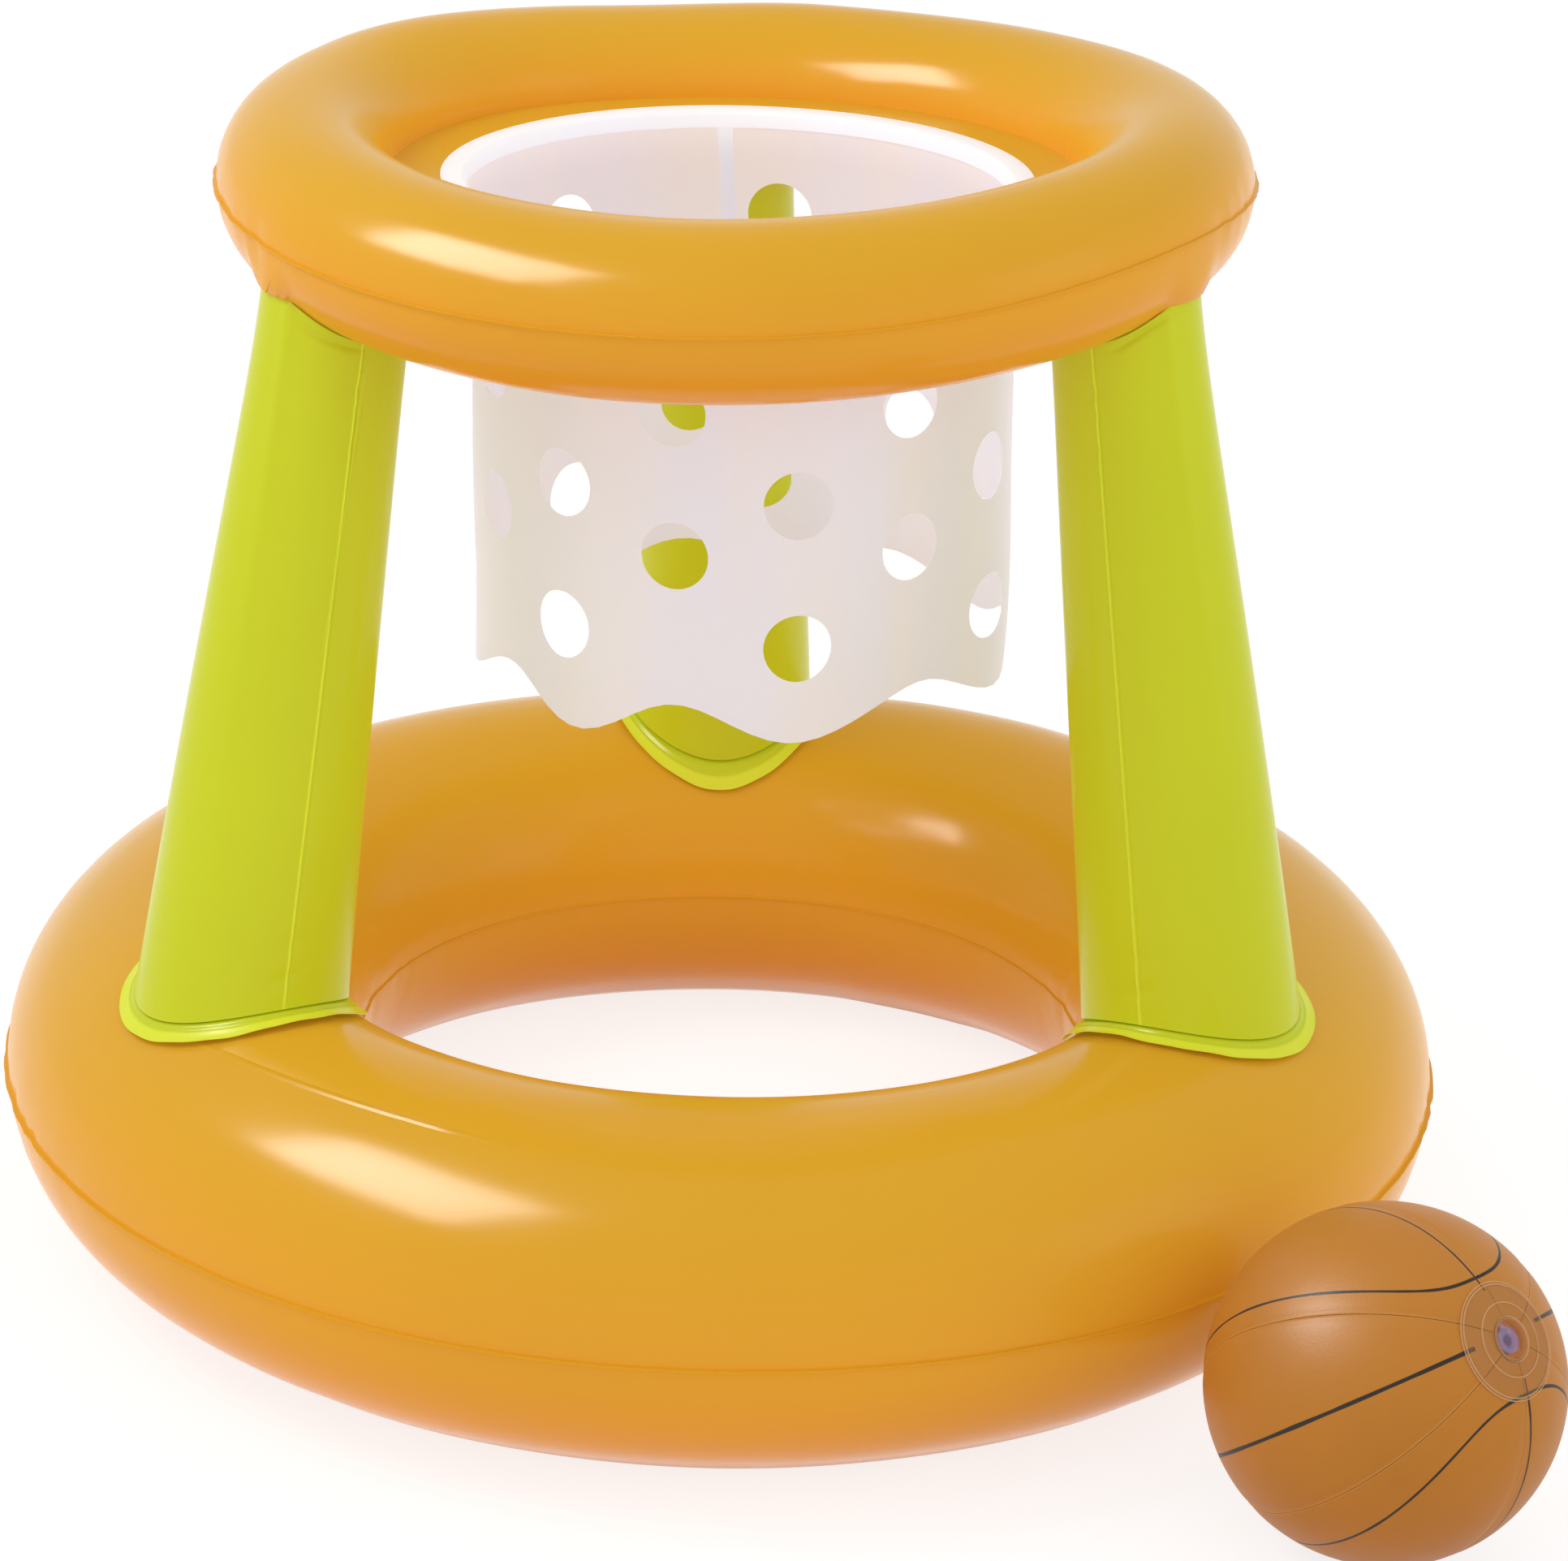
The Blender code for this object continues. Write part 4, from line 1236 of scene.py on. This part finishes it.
# Nodes laid out left to right in one tree
class NodeLine:

    def __init__(self, tree):
        self.tree = tree
        self.column = 0

    def add(self, kind, **values):
        node = self.tree.nodes.new("ShaderNode" + kind)
        node.location = (self.column, 0)
        self.column += 180
        for name, value in values.items():
            setattr(node, name, value)
        return node

    def link(self, start, end):
        self.tree.links.new(start, end)

    def math(self, operation, first, second=None, third=None):
        node = self.add("Math", operation=operation)
        for socket, value in zip(node.inputs, (first, second, third)):
            self.feed(socket, value)
        return node.outputs[0]

    def colorMix(self, share, first, second):
        node = self.add("Mix", data_type="RGBA")
        self.feed(node.inputs["Factor"], share)
        self.feed(node.inputs[6], first)
        self.feed(node.inputs[7], second)
        return node.outputs[2]

    def feed(self, socket, value):
        if value is None:
            return
        if isinstance(value, bpy.types.NodeSocket):
            self.link(value, socket)
        else:
            socket.default_value = value

    def fill(self, node, values):
        for name, value in values.items():
            self.feed(node.inputs[name], value)

    # Where a point lies on the object
    def here(self):
        return self.add("TexCoord").outputs["Object"]

    def split(self, vector):
        node = self.add("SeparateXYZ")
        self.link(vector, node.inputs[0])
        return node.outputs

    def noise(self, where, **values):
        node = self.add("TexNoise")
        self.fill(node, {"Vector": where, **values})
        return node.outputs["Fac"]

    # Goes smoothly from start to end while the value goes from low to high
    def ease(self, value, low, high, start=0, end=1):
        node = self.add("MapRange", interpolation_type="SMOOTHSTEP")
        self.fill(node, {"Value": value, "From Min": low, "From Max": high, "To Min": start, "To Max": end})
        return node.outputs["Result"]

    # How far a point is from the middle that across and along are measured from
    def reach(self, across, along):
        squares = [self.math("MULTIPLY", each, each) for each in (across, along)]
        return self.math("SQRT", self.math("ADD", *squares))


# An input without a first value is a colour, and the others are numbers
def newGroup(name, inputs, outputs):
    group = bpy.data.node_groups.new(name, "ShaderNodeTree")
    for label, value in inputs.items():
        kind = "NodeSocketColor" if value is None else "NodeSocketFloat"
        socket = group.interface.new_socket(name=label, in_out="INPUT", socket_type=kind)
        if value is not None:
            socket.default_value = value
    for label, kind in outputs.items():
        group.interface.new_socket(name=label, in_out="OUTPUT", socket_type="NodeSocket" + kind)
    start = group.nodes.new("NodeGroupInput")
    end = group.nodes.new("NodeGroupOutput")
    end.location = (1600, 0)
    return group, NodeLine(group), start.outputs, end.inputs


# Painted shade: the colour is lightest on faces that look up and deepens on faces that look sideways and
# down
def paintedShadeByFacing():
    inputs = {"Top": None, "Side": None, "Low": None}
    group, nodes, given, result = newGroup("paintedShadeByFacing", inputs, {"Color": "Color", "Painted Glow": "Color"})
    facing = nodes.split(nodes.add("TexCoord").outputs["Normal"])["Z"]
    below = nodes.ease(facing, -0.95, 0.1)
    above = nodes.ease(facing, 0, 0.95)
    lower = nodes.colorMix(below, given["Low"], given["Side"])
    upper = nodes.colorMix(above, lower, given["Top"])
    nodes.link(upper, result["Color"])
    # a painted glow on faces that look down or sideways, as if more of their light came from inside the tube
    shaded = nodes.math("MULTIPLY_ADD", above, -0.7, 1)
    nodes.link(nodes.colorMix(shaded, (0, 0, 0, 1), upper), result["Painted Glow"])
    return group


# Pigment is never quite even in a calendered sheet, and handling leaves it duller in places
def unevenSheet():
    inputs = {"Color": None, "Tone Spread": 0.06, "Tone Size": 9.0, "Roughness": 0.3}
    inputs["Roughness Spread"] = 0.08
    group, nodes, given, result = newGroup("unevenSheet", inputs, {"Color": "Color", "Roughness": "Float"})
    where = nodes.here()
    tone = nodes.noise(where, Scale=given["Tone Size"], Detail=3)
    shift = nodes.math("MULTIPLY_ADD", tone, 2, -1)
    value = nodes.math("MULTIPLY_ADD", shift, given["Tone Spread"], 1)
    shaded = nodes.add("HueSaturation")
    nodes.fill(shaded, {"Value": value, "Color": given["Color"]})
    nodes.link(shaded.outputs["Color"], result["Color"])
    smear = nodes.noise(where, Scale=26, Detail=5, Distortion=0.6)
    change = nodes.math("MULTIPLY_ADD", smear, 2, -1)
    rough = nodes.math("MULTIPLY_ADD", change, given["Roughness Spread"], given["Roughness"])
    nodes.link(rough, result["Roughness"])
    return group


# Blown-up vinyl has a fine orange peel and low ripples under tension
def vinylRelief():
    inputs = {"Peel": 0.2, "Peel Size": 900.0, "Ripple": 0.6, "Ripple Size": 24.0}
    group, nodes, given, result = newGroup("vinylRelief", inputs, {"Height": "Float"})
    where = nodes.here()
    peel = nodes.noise(where, Scale=given["Peel Size"])
    ripple = nodes.noise(where, Scale=given["Ripple Size"], Detail=1, Distortion=0.4)
    fine = nodes.math("MULTIPLY", peel, given["Peel"])
    nodes.link(nodes.math("MULTIPLY_ADD", ripple, given["Ripple"], fine), result["Height"])
    return group


# A thin raised line stays where the flat vinyl lay folded, and the materials also paint it lighter as a
# painted highlight.
# Distance is how far a point is off the line, and Place tells where it is along it.
def foldedLine():
    inputs = {"Distance": 0.0, "Width": 0.001, "Place": 0.0, "Start": 0.0, "End": 1.0, "Fade": 0.01}
    group, nodes, given, result = newGroup("foldedLine", inputs, {"Mask": "Float"})
    near = nodes.math("DIVIDE", nodes.math("ABSOLUTE", given["Distance"]), given["Width"])
    line = nodes.math("SUBTRACT", 1, nodes.math("MINIMUM", near, 1))
    into = nodes.math("SUBTRACT", given["Place"], given["Start"])
    left = nodes.math("SUBTRACT", given["End"], given["Place"])
    room = nodes.math("DIVIDE", nodes.math("MINIMUM", into, left), given["Fade"])
    inside = nodes.math("MINIMUM", nodes.math("MAXIMUM", room, 0), 1)
    nodes.link(nodes.math("MULTIPLY", line, inside), result["Mask"])
    return group


paintedShadeGroup = paintedShadeByFacing()
unevenGroup = unevenSheet()
reliefGroup = vinylRelief()
foldGroup = foldedLine()


def newMaterial(name):
    material = bpy.data.materials.new(name)
    material.use_nodes = True
    nodes = NodeLine(material.node_tree)
    nodes.column = -1400
    return material, nodes, material.node_tree.nodes["Principled BSDF"]


def placed(nodes, group, values):
    node = nodes.add("Group")
    node.node_tree = group
    nodes.fill(node, values)
    return node.outputs


def opaque(colour):
    return (*colour, 1)


# Gives the shader the sheet's uneven colour, roughness and relief, and its shine
def dress(nodes, shader, colour, look, fold=None):
    sheet = {"Color": colour, "Tone Spread": look["tone"], "Tone Size": look["toneSize"]}
    sheet.update({"Roughness": look["roughness"], "Roughness Spread": look["spread"]})
    uneven = placed(nodes, unevenGroup, sheet)
    relief = {"Peel": look["peel"], "Ripple": look["ripple"], "Ripple Size": look["rippleSize"]}
    height = placed(nodes, reliefGroup, relief)["Height"]
    if fold is not None:
        height = nodes.math("MULTIPLY_ADD", fold, look["foldRise"], height)
    bump = nodes.add("Bump")
    nodes.fill(bump, {"Distance": look["depth"], "Height": height})
    nodes.fill(shader, {"Base Color": uneven["Color"], "Roughness": uneven["Roughness"]})
    nodes.fill(shader, {"Normal": bump.outputs["Normal"], "IOR": look["ior"]})
    nodes.fill(shader, {"Specular IOR Level": look["shine"]})


ringLook = {
    "tone": 0.04,
    "toneSize": 6,
    "roughness": 0.2,
    "spread": 0.04,
    "peel": 0.03,
    "ripple": 1.0,
    "rippleSize": 13,
    "depth": 0.0004,
    "ior": 1.3,
    "shine": 0.32,
    # glow is the strength of the painted glow, for the rings, legs and net
    "glow": 0.14,
    "foldRise": 1.3,
}
legLook = dict(ringLook, roughness=0.24, toneSize=10, rippleSize=18)
netLook = dict(ringLook, tone=0.02, roughness=0.42, ior=1.5, ripple=0.7, rippleSize=26, glow=0.45)
ballLook = dict(ringLook, tone=0.07, toneSize=22, roughness=0.44, ior=1.4, rippleSize=40, peel=0.16)
clearLook = dict(ringLook, tone=0.03, toneSize=60, roughness=0.2, ripple=0.5, rippleSize=120)


def foldMask(nodes, fold, off, at):
    values = {label: fold[label.lower()] for label in ("Width", "Start", "End", "Fade")}
    return placed(nodes, foldGroup, {"Distance": off, "Place": at, **values})["Mask"]


# One fold runs over the front of the base ring, from the left foot
def ringFold(nodes):
    fold = finish["ringFold"]
    x, y, z = nodes.split(nodes.here())
    reach = nodes.reach(nodes.math("SUBTRACT", x, hoopAxis.x), nodes.math("SUBTRACT", y, hoopAxis.y))
    bend = nodes.math("DIVIDE", nodes.math("SUBTRACT", x, fold["middle"]), fold["half"])
    target = nodes.math("MULTIPLY_ADD", nodes.math("MULTIPLY", bend, bend), fold["bow"], fold["reach"])
    mask = foldMask(nodes, fold, nodes.math("SUBTRACT", reach, target), x)
    front = nodes.math("MULTIPLY", nodes.math("LESS_THAN", y, 0), nodes.math("GREATER_THAN", z, fold["low"]))
    return nodes.math("MULTIPLY", mask, front)


# One fold runs down the upper part of the left leg, beside its weld
def legFold(nodes):
    fold = finish["legFold"]
    where = nodes.here()
    dot = nodes.add("VectorMath", operation="DOT_PRODUCT")
    nodes.link(where, dot.inputs[0])
    dot.inputs[1].default_value = fold["way"]
    off = nodes.math("SUBTRACT", dot.outputs["Value"], fold["offset"])
    return foldMask(nodes, fold, off, nodes.split(where)["Z"])


# The painted-shade colours of a tube at a point, and how far the point carries the painted weld highlight
def paintedTubeColours(nodes, colours):
    values = {label: opaque(colours[label.lower()]) for label in ("Top", "Side", "Low")}
    weld = nodes.add("Attribute", attribute_name="weld").outputs["Fac"]
    return placed(nodes, paintedShadeGroup, values), weld


# The colour is painted lighter on a weld and on a fold: a painted highlight for the light on their ridges
def vinylMaterial(name, colours, weldHighlightColour, look, makeFold):
    material, nodes, shader = newMaterial(name)
    facingShade, weld = paintedTubeColours(nodes, colours)
    fold = makeFold(nodes)
    paintedHighlight = nodes.math("MAXIMUM", weld, nodes.math("MULTIPLY", fold, finish["foldHighlight"]))
    dress(nodes, shader, nodes.colorMix(paintedHighlight, facingShade["Color"], opaque(weldHighlightColour)), look, fold)
    # painted glow: emission on faces that look down or sideways, though the tube is no lamp
    nodes.fill(shader, {"Emission Color": facingShade["Painted Glow"], "Emission Strength": look["glow"]})
    return material


# Milky sheet: light scatters in it, and slow bands of warmer and cooler white are painted down it as the
# light and shade of its flutes, under a painted glow.
# Where the rim is turned in there are two layers; there the painted glow turns whiter, a painted highlight
# that fades into the net.
def milkyMaterial(name, cool, warm, scatter):
    material, nodes, shader = newMaterial(name)
    where = nodes.here()
    stretch = nodes.add("Mapping")
    nodes.fill(stretch, {"Vector": where, "Scale": (1, 1, 0.12)})
    shadeBands = nodes.noise(stretch.outputs["Vector"], Scale=24, Detail=1)
    share = nodes.math("SMOOTH_MAX", nodes.math("MULTIPLY_ADD", shadeBands, 5, -2.1), 0, 0.1)
    colour = nodes.colorMix(nodes.math("MINIMUM", share, 1), opaque(cool), opaque(warm))
    dress(nodes, shader, colour, netLook)
    rimGlowShare = nodes.ease(nodes.split(where)["Z"], rimHigh.z - finish["rimGlowFade"], rimHigh.z)
    glow = nodes.colorMix(rimGlowShare, opaque(finish["netPaintedGlow"]), opaque(finish["rimPaintedGlow"]))
    nodes.fill(shader, {"Emission Color": glow, "Emission Strength": netLook["glow"]})
    nodes.fill(shader, {"Subsurface Weight": scatter, "Subsurface Radius": (1, 0.96, 0.94)})
    nodes.fill(shader, {"Subsurface Scale": 0.012})
    return material


# How far a point is across, along and up the given axes from the ball's middle
def onBall(nodes, axes):
    turned = nodes.add("Mapping", vector_type="TEXTURE")
    nodes.fill(turned, {"Vector": nodes.here(), "Location": ballCentre, "Rotation": axes.to_euler()})
    return nodes.split(turned.outputs["Vector"])


# The ball's lines: two great circles that cross at the pole, and one loop on each side
def ballMaterial():
    material, nodes, shader = newMaterial("printedBallVinyl")
    turn = Matrix.Rotation(finish["lineTurn"], 3, "Z")
    across, along, up = onBall(nodes, ballAxes @ turn @ Matrix.Rotation(finish["lineTilt"], 3, "Y"))
    power = finish["linePower"]
    powers = []
    for distance, angle in zip((up, along), finish["lineCurve"]):
        slant = nodes.math("MULTIPLY", distance, 1 / math.tan(angle))
        powers.append(nodes.math("POWER", nodes.math("ABSOLUTE", slant), power))
    bow = nodes.math("POWER", nodes.math("ADD", *powers), 1 / power)
    straight = nodes.math("ABSOLUTE", across)
    cone = nodes.math("ABSOLUTE", nodes.math("SUBTRACT", bow, straight))
    uneven = nodes.math("MULTIPLY_ADD", nodes.noise(nodes.here(), Scale=60), 0.0006, -0.0003)
    ink = 0
    for distance, width in (
        (straight, finish["straightLine"]),
        (nodes.math("ABSOLUTE", along), finish["crossLine"]),
        (nodes.math("MULTIPLY", cone, 0.85), finish["loopLine"]),
    ):
        half, edge = width / 2, finish["inkEdge"]
        mask = nodes.ease(nodes.math("ADD", distance, uneven), half - edge, half + edge, 1, 0)
        ink = nodes.math("MAXIMUM", ink, mask)
    # the print stops short of the pole, where the valve's patch is welded on
    printed = nodes.math("LESS_THAN", up, math.sqrt(ball["radius"] ** 2 - finish["inkStop"] ** 2))
    # painted shade by facing, and the painted highlight on the welds
    facingShade, weld = paintedTubeColours(nodes, finish["ball"])
    plain = nodes.colorMix(weld, facingShade["Color"], opaque(finish["ballWeldHighlight"]))
    shown = nodes.colorMix(nodes.math("MULTIPLY", ink, printed), plain, opaque(finish["ink"]))
    dress(nodes, shader, shown, ballLook)
    return material


# The clear patch shows by its sheen and by the rings pressed into it, which are painted lighter and less
# clear as a painted highlight
def patchMaterial(colour, ringHighlightColour, alpha, ringHighlightAlpha):
    material, nodes, shader = newMaterial("clearPatchVinyl")
    across, along, up = onBall(nodes, ballAxes)
    reach = nodes.reach(across, along)
    ringHighlight = 0
    for at in finish["patchRings"]:
        off = nodes.math("ABSOLUTE", nodes.math("SUBTRACT", reach, at))
        ringHighlight = nodes.math("MAXIMUM", ringHighlight, nodes.ease(off, 0, finish["ringWidth"], 1, 0))
    inWell = nodes.math("LESS_THAN", reach, ball["wellRadius"] + 0.0002)
    shown = nodes.colorMix(ringHighlight, opaque(colour), opaque(ringHighlightColour))
    dress(nodes, shader, nodes.colorMix(inWell, shown, opaque(finish["well"])), clearLook)
    sheer = nodes.math("MULTIPLY_ADD", ringHighlight, ringHighlightAlpha - alpha, alpha)
    nodes.fill(shader, {"Alpha": nodes.math("MAXIMUM", sheer, inWell)})
    return material


def clearMaterial(name, colour, alpha, transmission):
    material, nodes, shader = newMaterial(name)
    dress(nodes, shader, opaque(colour), clearLook)
    nodes.fill(shader, {"Alpha": alpha, "Transmission Weight": transmission, "IOR": 1.46})
    return material


orangeVinyl = vinylMaterial("orangeRingVinyl", finish["orange"], finish["orangeWeldHighlight"], ringLook, ringFold)
limeVinyl = vinylMaterial("limeLegVinyl", finish["lime"], finish["limeWeldHighlight"], legLook, legFold)
netVinyl = milkyMaterial("milkyNetVinyl", **finish["net"])
rimVinyl = milkyMaterial("whiteRimVinyl", **finish["rim"])
ballVinyl = ballMaterial()
patchVinyl = patchMaterial(**finish["patch"], **finish["patchRing"])
valveClear = clearMaterial("clearValvePlastic", **finish["plastic"])
valveViolet = clearMaterial("violetValvePlastic", **finish["violetPlastic"])
print("materials ready")


def coat(piece, material):
    piece.data.materials.clear()
    piece.data.materials.append(material)


def finishPiece(piece, material, body, slot, *nodes):
    coat(piece, material)
    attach(piece, body)
    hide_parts(*nodes)


for piece, node in (
    (baseUpper, "base_ring_upper_sheet"),
    (baseLower, "base_ring_lower_sheet"),
    (topUpper, "top_ring_upper_sheet"),
    (topLower, "top_ring_lower_sheet"),
):
    finishPiece(piece, orangeVinyl, "hoop", "ring_vinyl", node)
for side, (leg, footPiece) in legPieces.items():
    finishPiece(leg, limeVinyl, "hoop", "leg_vinyl", side + "_leg_side_sheet")
    finishPiece(footPiece, limeVinyl, "hoop", "leg_vinyl", side + "_leg_foot_sheet")
    coat(frame["nodes"][side + "_leg_top_patch"], limeVinyl)
finishPiece(netPiece, netVinyl, "hoop", "net_vinyl", "net_sheet")
finishPiece(rimPiece, rimVinyl, "hoop", "net_vinyl", "net_rim")
for number, gore in enumerate(gorePieces, 1):
    finishPiece(gore, ballVinyl, "ball", "ball_vinyl", f"ball_gore_{number}")
finishPiece(endPatch, ballVinyl, "ball", "ball_vinyl", "ball_end_patch")
finishPiece(valvePatch, patchVinyl, "ball", "clear_vinyl", "ball_valve_patch")
for name, parts in valvePieces.items():
    plastic = valveViolet if name == "ball" else valveClear
    for piece, part in zip(parts, ("stem", "cap", "flap")):
        finishPiece(piece, plastic, f"{name}_{part}", "clear_vinyl", f"{name}_valve_{part}")
for name, piece in flanges.items():
    finishPiece(piece, valveClear, "hoop", "clear_vinyl", f"{name}_valve_flange")

holeCount = len(list(holePlaces()))
print("pieces dressed")


# Floor and light
studio = {
    "floorSize": 40,
    "floorColour": 0.8,
    "floorGlow": 0.8,
    "floorSeen": 0.3,
    "panels": {
        "keyPanel": {"way": (-0.646, -0.173, 0.743), "distance": 1.7, "size": (0.8, 0.62), "power": 5.5},
        # it lights nothing, and only shows as the bright reflection on the tubes
        "glintPanel": {
            "way": (-0.614, -0.267, 0.743),
            "distance": 1.7,
            "size": (1.05, 0.68),
            "power": 66,
            "lights": False,
        },
        "fillPanel": {"way": (0.85, -0.35, 0.35), "distance": 2.4, "size": (1.2, 1.0), "power": 3.2},
    },
    "horizon": 0.86,
    "sky": 0.72,
    "horizonEdge": (0.2, 0.55),  # heights of the direction between which the white fades
}


def addFloor():
    begin()
    bpy.ops.mesh.primitive_plane_add(size=studio["floorSize"], location=(0, 0, 0))
    floor = named("paleFloor")
    material, nodes, shader = newMaterial("paleFloor")
    nodes.fill(shader, {"Base Color": opaque([studio["floorColour"]] * 3), "Roughness": 0.9})
    rays = nodes.add("LightPath").outputs
    seen = nodes.math("MAXIMUM", rays["Is Camera Ray"], rays["Is Glossy Ray"])
    seen = nodes.math("MAXIMUM", seen, rays["Is Transmission Ray"])
    glow = nodes.add("Emission")
    nodes.fill(glow, {"Strength": studio["floorGlow"]})
    lit = nodes.add("BsdfDiffuse")
    nodes.fill(lit, {"Color": opaque([studio["floorSeen"]] * 3)})
    both = nodes.add("AddShader")
    nodes.link(glow.outputs[0], both.inputs[0])
    nodes.link(lit.outputs[0], both.inputs[1])
    choice = nodes.add("MixShader")
    nodes.link(seen, choice.inputs[0])
    nodes.link(shader.outputs[0], choice.inputs[1])
    nodes.link(both.outputs[0], choice.inputs[2])
    nodes.link(choice.outputs[0], material.node_tree.nodes["Material Output"].inputs["Surface"])
    coat(floor, material)


def addPanel(name, way, distance, size, power, lights=True):
    begin()
    way = Vector(way).normalized()
    target = hoopAxis + Vector((0, 0, 0.25))
    bpy.ops.object.light_add(type="AREA", location=target + way * distance)
    lamp = bpy.context.object
    lamp.name = name
    lamp.rotation_euler = way.to_track_quat("Z", "Y").to_euler()
    lamp.data.shape = "RECTANGLE"
    lamp.data.size, lamp.data.size_y = size
    lamp.data.energy = power
    lamp.visible_diffuse = lights


def addWorld():
    world = bpy.data.worlds.new("studio")
    bpy.context.scene.world = world
    world.use_nodes = True
    nodes = NodeLine(world.node_tree)
    background = world.node_tree.nodes["Background"]
    background.inputs["Color"].default_value = opaque((1, 1, 1))
    height = nodes.split(nodes.add("TexCoord").outputs["Generated"])["Z"]
    fade = nodes.ease(height, *studio["horizonEdge"], studio["horizon"], studio["sky"])
    nodes.link(fade, background.inputs["Strength"])


addFloor()
for name, panel in studio["panels"].items():
    addPanel(name, **panel)
addWorld()
print("studio ready")
